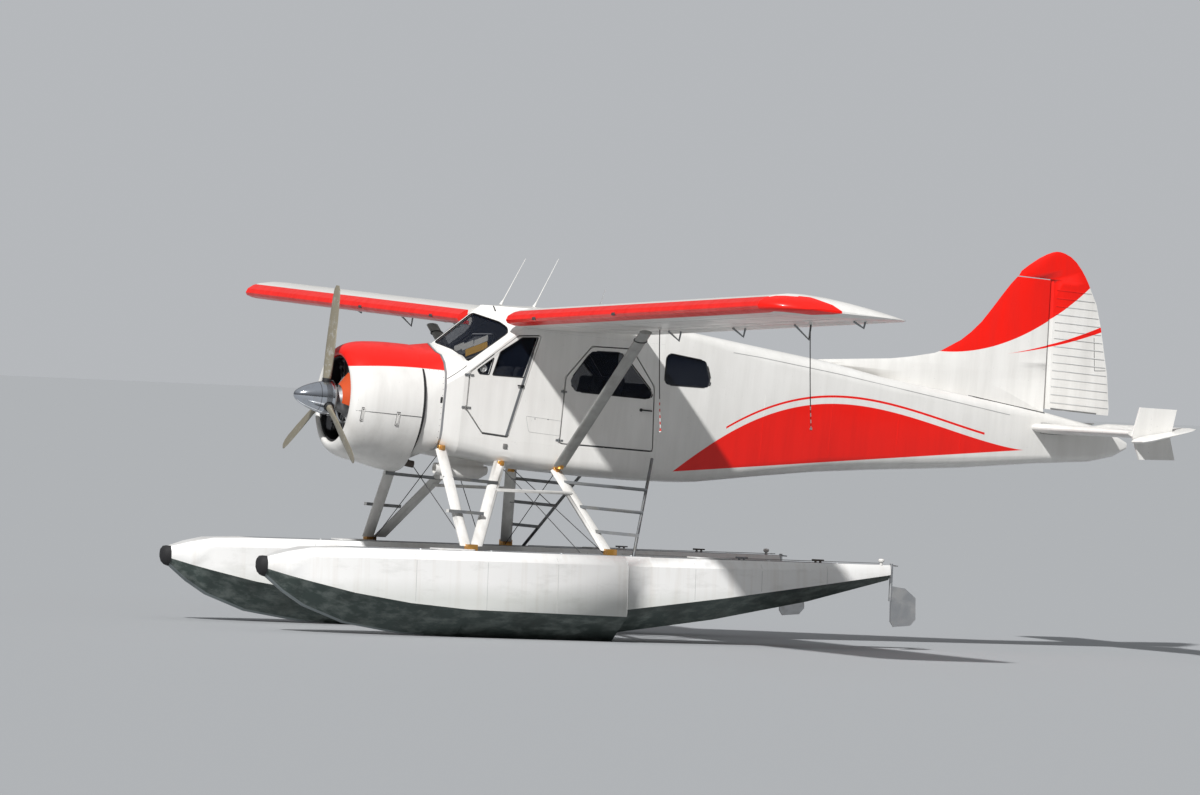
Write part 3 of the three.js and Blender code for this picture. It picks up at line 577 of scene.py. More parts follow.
WHITE = (0.80, 0.785, 0.755)
RED = (0.86, 0.010, 0.004)
GRIME = (0.30, 0.28, 0.24)
BARE = (0.50, 0.51, 0.52)


def enamel(name, colour=WHITE, roughness=0.26, red=None, grime=0.16, place=AIRFRAME):
    """Gloss paint on sheet metal, with waves, rain streaks, grime and chips. red gives its red places"""
    paint = Finish(name, colour, roughness, place=place)
    if red:
        paint.tint(red(paint), RED)
    paint.stain(paint.times(paint.over(paint.noise(1.3, 3), 0.5, 0.3), 0.16), GRIME)
    streaks = paint.over(paint.noise(5, 5, 0.6, (1.5, 1.5, 0.15)), 0.56, 0.16)
    paint.stain(paint.times(streaks, grime), GRIME)
    chips = paint.over(paint.noise(60, 2, 0.5), 0.755, 0.01)
    paint.stain(paint.times(chips, 0.6), BARE)
    paint.rougher(streaks, roughness + 0.2)
    paint.rougher(paint.times(paint.noise(14, 4), 0.4), roughness + 0.25)
    paint.bumps(paint.noise(2.6, 2), 0.12, 0.02)
    paint.bumps(paint.noise(180, 2), 0.05, 0.0004)
    return paint.set(Coat_Weight=0.12, Coat_Roughness=0.08, Specular_IOR_Level=0.35).done()


def cowl_red(paint):
    """Red above a low curve on the cowls"""
    _, y, z = paint.xyz
    ahead = paint.most(paint.minus(1.3, y), 0.0)
    edge = paint.minus(0.405, paint.times(0.0786, paint.times(ahead, ahead)))
    return paint.over(paint.minus(z, edge))


def fin_red(paint):
    """Red above a rising sweep on the fin and rudder, and a thin stripe below it"""
    _, y, z = paint.xyz
    along = paint.minus(y, 7.453)
    sweep = paint.plus(1.205, paint.times(0.276, paint.times(along, along)))
    top = paint.over(paint.minus(z, sweep))
    along = paint.most(paint.minus(y, 8.199), 0.0)
    middle = paint.plus(1.242, paint.times(along, paint.plus(0.198, paint.times(0.102, along))))
    half = paint.times(0.027, along)
    stripe = paint.over(paint.minus(half, paint.math("ABSOLUTE", paint.minus(z, middle))), 0.003)
    return paint.most(top, stripe)


def body_red(paint):
    """A long red wave along the lower side of the rear body, with a thin line that follows it"""
    _, y, z = paint.xyz
    share = paint.times(paint.most(paint.least(paint.minus(y, 4.15), 4.4), 0.0), 1 / 4.4)
    low = paint.plus(-0.41, paint.times(0.64, share))
    swell = paint.math("SINE", paint.times(math.pi, paint.math("POWER", share, 0.75)))
    wide = paint.times(0.64, paint.math("POWER", paint.most(swell, 0.0), 1.3))
    height = paint.minus(z, low)
    wave = paint.least(paint.over(height, 0.0), paint.over(paint.minus(wide, height), 0.004))
    line = paint.near(paint.minus(height, wide), 0.075, 0.012)
    inside = paint.least(paint.over(y, 4.75, 0.001), paint.over(paint.minus(8.0, y), 0.0))
    return paint.most(wave, paint.least(line, inside))


def edge_red(paint):
    """A red band round the wing's leading edge and the front of its tip, drawn in the wing's own measures"""
    x, y, z = paint.xyz
    out = paint.minus(paint.math("ABSOLUTE", x), WING_ROOT)
    rise = paint.minus(z, CHORD_HEIGHT)
    up = paint.minus(rise, paint.times(math.tan(DIHEDRAL), out))
    upper = paint.over(up, -0.012, 0.001)
    wide = paint.minus(0.15, paint.times(0.025, upper))
    short = paint.times(paint.most(paint.minus(0.13, out), 0.0), paint.over(x, 0.0))
    back = paint.minus(y, LEADING_EDGE - 0.01)
    away = paint.math("SQRT", paint.plus(paint.times(short, short), paint.times(back, back)))
    lead = paint.over(paint.minus(wide, away), 0.0)
    past = paint.over(out, 6.2, 0.01)
    taper = paint.times(0.45, paint.most(paint.minus(2.86, y), 0.0))
    tip = paint.least(past, paint.over(paint.minus(taper, paint.minus(6.66, out)), 0.006))
    tip = paint.least(tip, paint.over(up, -0.045, 0.001))
    notch = paint.over(paint.minus(0.17, paint.plus(
        paint.math("ABSOLUTE", paint.minus(y, 2.40)), paint.math("ABSOLUTE", paint.minus(out, 6.34)),
    )), 0.0)
    tip = paint.least(tip, paint.minus(1.0, paint.least(notch, upper)))
    return paint.most(lead, tip)


def metal(name, colour, roughness, grime=0.3, scale=30):
    """Bare or plated metal with fine scratches, dull patches and grime"""
    finish = Finish(name, colour, roughness, 1.0)
    patches = finish.over(finish.noise(scale / 4, 4), 0.55, 0.12)
    finish.tint(finish.times(patches, grime), GRIME)
    finish.rougher(patches, min(roughness + 0.3, 0.9))
    scratches = finish.noise(scale * 4, 3, 0.6, (1, 0.08, 1))
    finish.rougher(finish.times(scratches, 0.25), roughness + 0.3)
    return finish.bumps(scratches, 0.08, 0.0005).done()


def polished(name):
    """Bright spinner metal with turned bands: a dark one at the back and a thin dark line ahead of it"""
    finish = Finish(name, (0.58, 0.61, 0.66), 0.07, 1.0)
    _, y, _ = finish.xyz
    finish.tint(finish.near(y, 0.345, 0.03), (0.25, 0.26, 0.28))
    finish.tint(finish.near(y, 0.262, 0.003), (0.2, 0.2, 0.21))
    finish.tint(finish.times(finish.over(finish.noise(24, 5), 0.6, 0.1), 0.3), (0.45, 0.43, 0.4))
    finish.rougher(finish.near(y, 0.345, 0.03), 0.3)
    finish.rougher(finish.times(finish.noise(60, 3, 0.6, (1, 6, 1)), 0.5), 0.2)
    return finish.done()


def blade_paint(name):
    """Grey-beige blade paint, rubbed to metal in scattered patches"""
    finish = Finish(name, (0.225, 0.20, 0.145), 0.42)
    worn = finish.over(finish.noise(22, 6, 0.7), 0.60, 0.06)
    finish.tint(finish.times(worn, 0.45), BARE)
    finish.tint(finish.times(finish.over(finish.noise(5, 3), 0.5, 0.2), 0.25), (0.16, 0.155, 0.14))
    finish.rougher(worn, 0.25)
    return finish.bumps(finish.noise(160, 2), 0.1, 0.0004).done()


def glass(name, cover):
    """Smoke-tinted acrylic with fine wiping marks, which covers a share of what is behind it"""
    finish = Finish(name, (0.006, 0.009, 0.018), 0.02)
    finish.rougher(finish.times(finish.over(finish.noise(40, 4, 0.6, (1, 0.2, 1)), 0.6, 0.1), 0.5), 0.12)
    return finish.set(Alpha=cover, Specular_IOR_Level=0.5).done()


def plain(name, colour, roughness=0.6, grain=90, strength=0.25, depth=0.0006, place=AIRFRAME, spots=0.25):
    """Rubber, trim, plastics and cords: a mottled colour with a fine grain"""
    finish = Finish(name, colour, roughness, place=place)
    darker = tuple(0.45 * value for value in colour)
    finish.tint(finish.times(finish.over(finish.noise(7, 5), 0.5, 0.2), spots), darker)
    grit = finish.noise(grain, 3)
    finish.rougher(finish.times(grit, 0.4), min(roughness + 0.25, 1.0))
    return finish.bumps(grit, strength, depth).done()


def float_paint(name):
    """White float enamel with scuffs, rust runs under the deck and a grey waterline stain"""
    paint = Finish(name, (0.81, 0.80, 0.78), 0.3, place=FLOATS)
    _, _, z = paint.xyz
    scuffs = paint.over(paint.noise(7, 6, 0.65, (1, 0.35, 1)), 0.6, 0.07)
    paint.stain(paint.times(scuffs, 0.2), (0.5, 0.5, 0.47))
    runs = paint.over(paint.noise(6, 4, 0.5, (1, 2.4, 0.12)), 0.6, 0.1)
    paint.stain(paint.times(runs, 0.16), (0.6, 0.5, 0.4))
    waterline = paint.plus(0.44, paint.times(0.12, paint.noise(3)))
    paint.tint(paint.times(paint.over(paint.minus(waterline, z), 0, 0.1), 0.35), (0.30, 0.33, 0.28))
    paint.rougher(scuffs, 0.6)
    paint.bumps(paint.noise(2.2, 2), 0.15, 0.02)
    return paint.set(Coat_Weight=0.2, Coat_Roughness=0.15).done()


def hull_bottom(name):
    """Weathered dark green-grey bottom metal, with paler scrapes"""
    finish = Finish(name, (0.055, 0.075, 0.068), 0.5, 0.3, FLOATS)
    scrapes = finish.over(finish.noise(8, 7, 0.7, (1, 0.5, 1)), 0.55, 0.1)
    finish.tint(finish.times(scrapes, 0.6), (0.26, 0.29, 0.27))
    finish.tint(finish.times(finish.over(finish.noise(2.5, 4), 0.55, 0.1), 0.4), (0.03, 0.035, 0.03))
    x, y, _ = finish.xyz
    keel = finish.near(finish.math("ABSOLUTE", x), FLOAT_X, 0.045)
    finish.tint(finish.times(finish.least(keel, finish.over(finish.minus(1.0, y))), 0.7), (0.26, 0.29, 0.30))
    finish.rougher(scrapes, 0.75)
    return finish.bumps(finish.noise(30, 5), 0.3, 0.003).done()


def deck_grip(name):
    """Grey non-skid deck paint, worn pale where it is trodden"""
    finish = Finish(name, (0.20, 0.21, 0.22), 0.85, place=FLOATS)
    trodden = finish.over(finish.noise(4, 5), 0.52, 0.12)
    finish.tint(finish.times(trodden, 0.5), (0.36, 0.36, 0.36))
    grit = finish.noise(350, 2)
    finish.tint(finish.times(finish.over(grit, 0.6, 0.05), 0.3), (0.09, 0.09, 0.095))
    return finish.bumps(grit, 0.6, 0.002).done()


def rope_colours(name):
    """Weathered rope with laid strands, its last third in a white sleeve with red turns"""
    finish = Finish(name, (0.05, 0.045, 0.045), 0.9, place=FLOATS)
    _, _, z = finish.xyz
    sleeve = finish.over(finish.minus(2.58, z), 0.0)
    turns = finish.over(finish.math("SINE", finish.times(z, 95.0)), 0.15, 0.05)
    finish.tint(sleeve, (0.72, 0.70, 0.66))
    finish.tint(finish.least(sleeve, turns), (0.62, 0.03, 0.02))
    strands = finish.math("SINE", finish.plus(finish.times(z, 700.0), finish.times(finish.xyz[1], 500.0)))
    return finish.bumps(strands, 0.5, 0.001).done()


def woven(name):
    """Dark seat cloth with a fine weave and a little fading"""
    finish = Finish(name, (0.055, 0.058, 0.07), 0.85)
    x, y, z = finish.xyz
    across = finish.math("SINE", finish.times(x, 1500.0))
    down = finish.math("SINE", finish.times(finish.plus(y, z), 1500.0))
    weave = finish.times(across, down)
    finish.tint(finish.times(finish.over(weave, 0.1, 0.4), 0.35), (0.12, 0.125, 0.145))
    finish.tint(finish.times(finish.over(finish.noise(5), 0.5, 0.15), 0.3), (0.09, 0.085, 0.08))
    return finish.set(Sheen_Weight=0.3, Sheen_Roughness=0.5).bumps(weave, 0.4, 0.0008).done()


LOOKS = {
    "white": enamel("white_enamel"),
    "cowl": enamel("cowl_enamel", red=cowl_red),
    "tail": enamel("tail_enamel", red=fin_red),
    "body": enamel("body_enamel", red=body_red, grime=0.12),
    "wing": enamel("wing_enamel", red=edge_red),
    "leg": enamel("leg_enamel", grime=0.3, place=FLOATS),
    "strut": enamel("strut_enamel", (0.36, 0.36, 0.345), 0.36, grime=0.35),
    # A greyer enamel for the rudder's ribs: painted shade of the corrugations, red where the fin is red
    "ridge_shade": enamel("ridge_shade_enamel", (0.60, 0.60, 0.59), red=fin_red),
    "float": float_paint("float_enamel"),
    "hull": hull_bottom("float_bottom"),
    "deck": deck_grip("deck_grip"),
    "aluminium": metal("bare_aluminium", (0.60, 0.61, 0.62), 0.36),
    # Dull grey metal, darkened partly as painted shade on the step treads
    "tread": metal("tread_metal_and_shade", (0.30, 0.31, 0.32), 0.5, grime=0.5),
    "bright": metal("plated_steel", (0.70, 0.71, 0.72), 0.2),
    "gold": metal("gold_fittings", (0.80, 0.42, 0.10), 0.35, grime=0.35, scale=60),
    "engine": metal("cast_engine", (0.36, 0.36, 0.37), 0.5, grime=0.4),
    "exhaust": metal("burnt_steel", (0.13, 0.11, 0.10), 0.6, grime=0.5),
    "spinner": polished("spinner_polish"),
    "blade": blade_paint("blade_paint"),
    "glass": glass("side_acrylic", 0.5),
    "clear": glass("windshield_acrylic", 0.36),
    "seam": plain("seam_dark", (0.055, 0.055, 0.055), 0.7),
    "rib": plain("rib_shade", (0.42, 0.42, 0.41), 0.5, spots=0.1),
    # The edge look is a dark grey that paints the shadow in the gap at the crew door's rear edge
    "edge": plain("door_gap_shadow", (0.13, 0.135, 0.14), 0.6, spots=0.1),
    "rubber": plain("black_rubber", (0.012, 0.012, 0.013), 0.72, 60, 0.5, 0.0015),
    "black": plain("black_trim", (0.015, 0.015, 0.016), 0.6),
    # Near-black lining for the cabin, also laid on the cowl's inner faces as painted shade
    "lining_and_shade": plain("cabin_lining_and_shade", (0.035, 0.036, 0.04), 0.9, 200),
    "baffle": plain("orange_baffle", (0.60, 0.08, 0.016), 0.45),
    "panel": plain("panel_black", (0.02, 0.02, 0.022), 0.55, 240),
    "dial": plain("dial_faces", (0.35, 0.35, 0.33), 0.4),
    "paper": plain("chart_paper", (0.80, 0.79, 0.74), 0.8, spots=0.1),
    "folder": plain("yellow_folder", (0.85, 0.48, 0.07), 0.7, spots=0.1),
    "rope": rope_colours("handling_rope"),
    "seat": woven("seat_cloth"),
}


# Camera, lights and floor
CAMERA_PLACE = Vector((83.3365, -37.3538, 2.8764))
CAMERA_AIM = Vector((-0.4051, -0.7912, 2.5571))
CAMERA_ROLL = math.radians(2.5194)
CAMERA_LENS = 254.649
SUN_STRENGTH = 4.2
SUN_SIZE = math.radians(2)
BACKDROP_STRENGTH = 0.50
SKY = {"From Min": 0.0, "From Max": 0.8, "To Min": 0.08, "To Max": 0.46}


def aim_camera():
    """A long lens at the photograph's place, turned by its roll"""
    back = (CAMERA_PLACE - CAMERA_AIM).normalized()
    level = Vector((0, 0, 1)).cross(back).normalized()
    right = math.cos(CAMERA_ROLL) * level + math.sin(CAMERA_ROLL) * back.cross(level)
    up = back.cross(right)
    data = bpy.data.cameras.new("camera")
    data.lens = CAMERA_LENS
    data.sensor_width = 36
    data.clip_end = 2000
    camera = bpy.data.objects.new("camera", data)
    bpy.context.scene.collection.objects.link(camera)
    turn = Matrix((right, up, back)).transposed().to_4x4()
    camera.matrix_world = Matrix.Translation(CAMERA_PLACE) @ turn
    bpy.context.scene.camera = camera


def light_sun():
    """A soft-edged sun from ahead, above and to port"""
    bpy.ops.object.light_add(type="SUN", rotation=LIGHT_PATH.to_track_quat("-Z", "Y").to_euler())
    sun = bpy.context.active_object.data
    sun.energy = SUN_STRENGTH
    sun.angle = SUN_SIZE


def light_sky():
    """A soft sky that is brighter overhead, with an even backdrop where the camera sees it"""
    world = bpy.data.worlds.new("studio")
    world.use_nodes = True
    tree = world.node_tree
    height = tree.nodes.new("ShaderNodeSeparateXYZ")
    tree.links.new(tree.nodes.new("ShaderNodeTexCoord").outputs["Generated"], height.inputs[0])
    sky = tree.nodes.new("ShaderNodeMapRange")
    for name, value in SKY.items():
        sky.inputs[name].default_value = value
    tree.links.new(height.outputs["Z"], sky.inputs["Value"])
    seen = tree.nodes.new("ShaderNodeMath")
    seen.operation = "MAXIMUM"
    backdrop = tree.nodes.new("ShaderNodeMath")
    backdrop.operation = "MULTIPLY"
    backdrop.inputs[1].default_value = BACKDROP_STRENGTH
    tree.links.new(tree.nodes.new("ShaderNodeLightPath").outputs["Is Camera Ray"], backdrop.inputs[0])
    tree.links.new(sky.outputs["Result"], seen.inputs[0])
    tree.links.new(backdrop.outputs[0], seen.inputs[1])
    tree.links.new(seen.outputs[0], tree.nodes["Background"].inputs["Strength"])
    tree.nodes["Background"].inputs["Color"].default_value = (0.93, 0.96, 1.0, 1)
    bpy.context.scene.world = world
    bpy.context.scene.view_settings.view_transform = "Standard"


def lay_floor():
    """A plain pale floor far past the aircraft"""
    bpy.ops.mesh.primitive_plane_add(size=1200)
    floor = placed("floor")
    paint = plain("pale_floor", (0.35, 0.36, 0.37), 0.9, 0.8, 0.0, place=FLOATS, spots=0.0)
    floor.data.materials.append(paint)


# Handling ropes under the port wing: their rings' places on the wing, and the route below each
WING_RINGS = {"inner": (2.240, 2.845, -0.070), "outer": (5.242, 3.160, -0.050)}
ROPE_RADIUS = 0.005
ROPE_TOP_GAP = 0.0008
ROPE_ROUTE = [
    (0, 0, 0), (0, 0, 0.045), (0.001, 0.001, 0.110), (0.002, 0.003, 0.185), (0.003, 0.006, 0.260),
    (0.003, 0.010, 0.335), (0.002, 0.014, 0.410), (0, 0.018, 0.485), (-0.002, 0.023, 0.560),
    (-0.004, 0.028, 0.635), (-0.005, 0.033, 0.710), (-0.005, 0.038, 0.785), (-0.004, 0.043, 0.860),
    (-0.002, 0.048, 0.935), (0, 0.052, 1.000), (0.001, 0.055, 1.050),
]


def hang_rope(place):
    """One handling rope from its ring under the wing, with its knot"""
    top = WING @ Vector(WING_RINGS[place])
    points = [top + Vector((x, y, -ROPE_TOP_GAP - down)) for x, y, down in ROPE_ROUTE]
    line = eased(points, 3)
    piece = wire(f"wing_rope_{place}_line", line, ROPE_RADIUS, sides=3)
    fitted(piece, "rope", place=WORLD, smooth=60)
    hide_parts(f"wing_rope_{place}")
    knot = rope_knot(f"wing_rope_{place}_knot", line[-1])
    fitted(knot, "rope", place=WORLD, smooth=60)
    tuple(line[0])


def rope_knot(name, place):
    """A figure of rope wound round itself"""
    wide, high, steps = 0.0085, 0.012, 36
    angles = [i / steps * math.tau for i in range(steps + 1)]
    loop = [
        Vector(place) + Vector((wide * math.cos(2 * a), wide * math.sin(2 * a), high * math.sin(3 * a)))
        for a in angles
    ]
    return wire(name, loop, ROPE_RADIUS * 0.9, sides=2)


aim_camera()
light_sun()
light_sky()
lay_floor()
for rope_place in WING_RINGS:
    hang_rope(rope_place)


# Nose: cowl, engine, propeller and spinner
COWL_OUTER = [
    (0.458, 0.486), (0.462, 0.466), (0.475, 0.454), (0.500, 0.452), (0.548, 0.478), (0.592, 0.545),
    (0.626, 0.660), (0.645, 0.850), (0.651, 1.000), (COWL_RADIUS, COWL_REAR),
]
COWL_INNER = [
    (0.640, COWL_REAR), (0.639, 1.000), (0.632, 0.850), (0.608, 0.680), (0.560, 0.560), (0.500, 0.505),
]


def cowl_radius(y):
    """The cowl's outer radius at a station"""
    return between([(y0, r0) for r0, y0 in COWL_OUTER[3:]], y)


def engine_cowl():
    profile = eased([(r, y, 0) for r, y in COWL_OUTER], 3) + [Vector((r, y, 0)) for r, y in COWL_INNER]
    piece = turned("engine_cowl_shell", [*profile, profile[0]], steps=96)
    open_mesh(piece)
    choose_faces(piece, lambda c, n: c.z < -0.60 and c.y > 1.12)
    pull((0, 0, -0.05), 0.42)
    close_mesh(piece)
    fitted(piece, "cowl", smooth=50)
    # The cowl's inner faces take the near-black lining, which paints the shade inside the cowl
    paint_faces(piece, "lining_and_shade", lambda c, n: n.dot(Vector((c.x, 0, c.z)).normalized()) < -0.2 and c.y > 0.5)
    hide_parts("engine_cowl")


def cowl_split(first, last):
    """The split line along the cowl's side, just proud of it"""
    steps, proud = 14, 0.0015
    ys = [first + (last - first) * i / steps for i in range(steps + 1)]
    return [(math.sqrt((cowl_radius(y) + proud) ** 2 - COWL_SPLIT ** 2), y, COWL_SPLIT) for y in ys]


def cowl_latch(name, y):
    """An over-centre latch on the cowl's split line"""
    r = cowl_radius(y)
    surround = [(r + 0.001, y + a * 0.016, b * 0.068) for a, b in ((-1, -1), (1, -1), (1, 1), (-1, 1))]
    parts = [
        rim(name, surround, 0.006, (0.007, 0, 0), 0.004),
        block("lever", (r - 0.004, y - 0.007, -0.050), (r + 0.009, y + 0.007, 0.034), 0.002),
        rod("pin", (r + 0.004, y - 0.015, 0.040), (r + 0.004, y + 0.015, 0.040), 0.005),
    ]
    return moved(joined(name, parts), Matrix.Rotation(LATCH_TURN, 4, "Y"))


def cowl_latches():
    """The latches, each on its dark backing plate"""
    for place, y in (("front", 0.57), ("rear", 0.95)):
        r = cowl_radius(y)
        low, high = (r - 0.006, y - 0.021, -0.076), (r + 0.0012, y + 0.021, 0.076)
        back = block(f"latch_plate_{place}", low, high, 0.003)
        both_sides(moved(back, Matrix.Rotation(LATCH_TURN, 4, "Y")), "seam")
        both_sides(cowl_latch(f"cowl_latch_{place}", y), "white")


def cowl_lip_shadow():
    """A black ring behind the cowl, a painted shadow of the cowl's rear lip on the accessory cowl: wider at
    the sides and open at the top
    """
    shadow_band = [(0.6, 1.205), (0.645, 1.205), (0.643, 1.232), (0.6, 1.232), (0.6, 1.205)]
    ring = spun("cowl_lip_shadow", shadow_band, 72)
    open_mesh(ring)
    for side in (1, -1):
        choose_faces(ring, lambda c, n: n.y > 0.9 and side * c.x > 0.6 and abs(c.z - 0.06) < 0.12)
        pull((0, 0.016, 0), 0.62)
    bpy.ops.mesh.select_all(action="SELECT")
    bpy.ops.mesh.bisect(plane_co=(0, 0, 0.400), plane_no=(0, 0, 1), use_fill=True, clear_outer=True)
    fitted(close_mesh(ring), "black")


def cowl_lip():
    """A rubber seal round the cowl's mouth"""
    lip = [(0.447 + a, 0.492 + b) for a, b in oval(8, 0.012)]
    fitted(spun("cowl_lip_seal", lip, 72), "rubber", smooth=60)


def cylinder(name):
    """One air-cooled cylinder standing on the crankcase, with its fins, rocker boxes and pushrod tubes"""
    profile = [(0.0, 0.19), (0.075, 0.19), (0.075, 0.205)]
    for i in range(11):
        z = 0.215 + 0.0155 * i
        profile += [(0.056, z), (0.084, z + 0.002), (0.084, z + 0.006), (0.056, z + 0.008)]
    for i in range(9):
        z = 0.392 + 0.0165 * i
        wide = 0.105 - 0.0035 * i
        profile += [(0.07, z), (wide, z + 0.002), (wide, z + 0.007), (0.07, z + 0.009)]
    profile += [(0.045, 0.545), (0.0, 0.552)]
    line = [(r, CYLINDER_STATION, z) for r, z in profile]
    parts = [turned(name, line, (0, CYLINDER_STATION, 0), (0, 0, 1), 20)]
    for side in (-1, 1):
        x = side * 0.055
        parts.append(block("rocker", (x - 0.026, 0.635, 0.485), (x + 0.026, 0.74, 0.55), 0.014))
        parts.append(rod("pushrod", (side * 0.028, 0.60, 0.19), (x, 0.655, 0.50), 0.0105, sides=10))
        parts.append(rod("plug", (side * 0.10, 0.66, 0.44), (x, 0.72, 0.45), 0.009, sides=8))
    return joined(name, parts)


def crankcase():
    """The engine's case with its nose, and the wall behind the cylinders"""
    case = spun("crankcase", [
        (0, 0.455), (0.085, 0.455), (0.09, 0.47), (0.125, 0.50), (0.150, 0.56), (0.165, 0.60),
        (0.21, 0.615), (0.215, 0.66), (0.195, 0.68), (0.195, 0.90), (0.56, 0.94), (0.56, 0.96),
        (0.3, 1.0), (0.3, 1.4), (0, 1.4),
    ])
    fitted(case, "engine")
    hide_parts("engine")


def cylinders():
    """Nine cylinders, the first one modelled and the rest copied round the shaft"""
    first = cylinder("cylinder_1")
    for i in range(1, CYLINDERS):
        turn = Matrix.Rotation(i * math.tau / CYLINDERS, 4, "Y")
        fitted(copied(first, f"cylinder_{i + 1}", turn), "engine", smooth=40)
    fitted(first, "engine", smooth=40)


def case_bolts():
    """Bolt heads round the front of the case"""
    bolts = []
    for i in range(CASE_BOLTS):
        turn = Matrix.Rotation(i * math.tau / CASE_BOLTS, 4, "Y")
        back, front = Vector((0.188, 0.612, 0)), Vector((0.188, 0.598, 0))
        bolts.append(rod("case_bolts", turn @ back, turn @ front, 0.008, sides=6))
    fitted(joined("case_bolts", bolts), "bright")


def ignition_ring():
    """The ring tube that carries the plug leads"""
    ring = [(0.235, 0.585), (0.247, 0.573), (0.259, 0.585), (0.247, 0.597), (0.235, 0.585)]
    fitted(spun("ignition_ring", ring, 60), "bright", smooth=60)


def engine_baffle():
    """A quarter of an orange cone, on the port side above the middle"""
    guard = [(0.152, 0.495), (0.285, 0.595), (0.281, 0.603), (0.150, 0.505), (0.152, 0.495)]
    shell = spun("engine_baffle", guard, 72)
    open_mesh(shell)
    for way in ((1, 0, 0.05), (0.3, 0, 1)):
        bpy.ops.mesh.select_all(action="SELECT")
        bpy.ops.mesh.bisect(plane_co=(0, 0, 0), plane_no=way, use_fill=True, clear_inner=True)
    fitted(close_mesh(shell), "baffle")


def spinner_shell():
    """The spinner's thin shell, cut out round each blade's root"""
    outer = [
        (0, 0, 0), (0.034, 0.012, 0), (0.066, 0.046, 0), (0.1, 0.104, 0), (0.132, 0.18, 0), (0.158, 0.262, 0),
        (0.178, 0.34, 0), (0.187, 0.40, 0),
    ]
    inner = [(0.188, 0.412), (0.180, 0.412), (0.170, 0.34), (0.124, 0.18), (0.058, 0.056), (0, 0.04)]
    piece = turned("spinner_shell", eased(outer, 4) + [Vector((r, y, 0)) for r, y in inner], steps=96)
    for turn in BLADE_TURNS:
        way = turn @ Vector((0, 0, 1))
        cutter = rod("cutter", HUB + 0.08 * way, HUB + 0.3 * way, 0.057, sides=32)
        changed(piece, "BOOLEAN", operation="DIFFERENCE", object=cutter, solver="EXACT")
        bpy.data.objects.remove(cutter)
    fitted(piece, "spinner", "propeller", smooth=40)
    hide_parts("spinner")


def spinner_backplate():
    """The plate that closes the spinner at the back"""
    line = [(0, 0.400), (0.18, 0.400), (0.190, 0.404), (0.191, 0.416), (0.184, 0.420), (0, 0.420)]
    fitted(spun("spinner_backplate", line, 72), "bright", "propeller")


def blade_cuffs():
    """The dark sleeve at each blade's root"""
    line = [(0.0, 0.10), (0.048, 0.10), (0.050, 0.15), (0.046, 0.205), (0.0, 0.205)]
    profile = [(r, PROPELLER, z) for r, z in line]
    for i, turn in enumerate(BLADE_TURNS):
        cuff = turned(f"blade_cuff_{i + 1}", profile, HUB, (0, 0, 1), 32)
        fitted(moved(cuff, turn), "black", "propeller")


def exhausts():
    """A bent pipe on each side below the cowl"""
    for name, x in (("exhaust_left", 0.27), ("exhaust_right", -0.27)):
        bend = [(x, 1.10, -0.48), (x, 1.15, -0.555), (x, 1.22, -0.598), (x, 1.32, -0.612)]
        fitted(wire(name, eased(bend, 4), 0.038, 5), "exhaust", smooth=60)


engine_cowl()
both_sides(wire("cowl_split", cowl_split(0.50, 1.214), 0.0032, 1), "seam", smooth=60)
cowl_latches()
# A black ring behind the cowl paints the shadow of the cowl's rear lip
cowl_lip_shadow()
cowl_lip()
crankcase()
cylinders()
case_bolts()
ignition_ring()
engine_baffle()
spinner_shell()
spinner_backplate()
blade_cuffs()
skin("propeller", "blade", smooth=50)
rear_cowl = skin("accessory_cowl", "cowl", smooth=40)
skin("firewall", "aluminium")
skin("belly_duct", "white", smooth=40)
# A black block on each side paints the shade inside the firewall vent's opening
both_sides(block("firewall_vent_shade", (0.590, 1.418, 0.055), (0.6125, 1.450, 0.125), 0.010), "black")
exhausts()


# Plain skins for the rest of the frame
def lined(pieces):
    """Dark trim on the faces that look into the cabin"""
    for piece in pieces:
        def inward(c, n):
            towards = Vector((-c.x, 0, 0.35 - c.z))
            inside = abs(c.x) < 0.652 and -0.29 < c.z < 1.125 and c.y > 1.48
            return inside and n.dot(towards.normalized()) > 0.5
        paint_faces(piece, "lining_and_shade", inward)


front = skin("cabin_front", "body", smooth=35)
floor_skin = skin("cabin_floor", "body", smooth=35)
roof = skin("cabin_roof", "body", smooth=35)
side_skins = skins(pair("cabin_side"), "body")
crew_doors = skins(pair("crew_door"), "body")
cabin_doors = skins(pair("cabin_door"), "body")
rear = skin("rear_fuselage", "body", smooth=35)
lined([front, roof, floor_skin, rear, *side_skins, *crew_doors, *cabin_doors])
skins([*pair("crew_window"), *pair("cabin_window"), *pair("rear_window")], "glass")
skins(pair("windshield"), "clear")
fin = skin("fin", "tail")
rudder = skin("rudder", "tail")
tailplanes = skins(pair("tailplane"), "white")
elevators = skins(pair("elevator"), "white")
wings = skins(pair("wing"), "wing")
flaps = skins(pair("flap"), "wing")
ailerons = skins(pair("aileron"), "wing")
skins(pair("wing_strut"), "strut", smooth=50)
front_legs = skins(pair("front_float_strut"), "leg", smooth=50)
rear_legs = skins(pair("rear_float_strut"), "leg", smooth=50)
skins(pair("ladder"), "tread", smooth=50)
skins(["front_spreader_bar", "rear_spreader_bar"], "strut", smooth=50)
floats = skins(pair("float"), "float")
skins(pair("bow_bumper"), "rubber", smooth=60)
skins(pair("water_rudder"), "aluminium", smooth=50)
skin("instrument_panel", "panel")

for hull in floats:
    paint_faces(hull, "hull", lambda c, n: n.z < -0.25, FLOATS)
    paint_faces(hull, "deck", lambda c, n: n.z > 0.9 and c.y > 0.1, FLOATS)


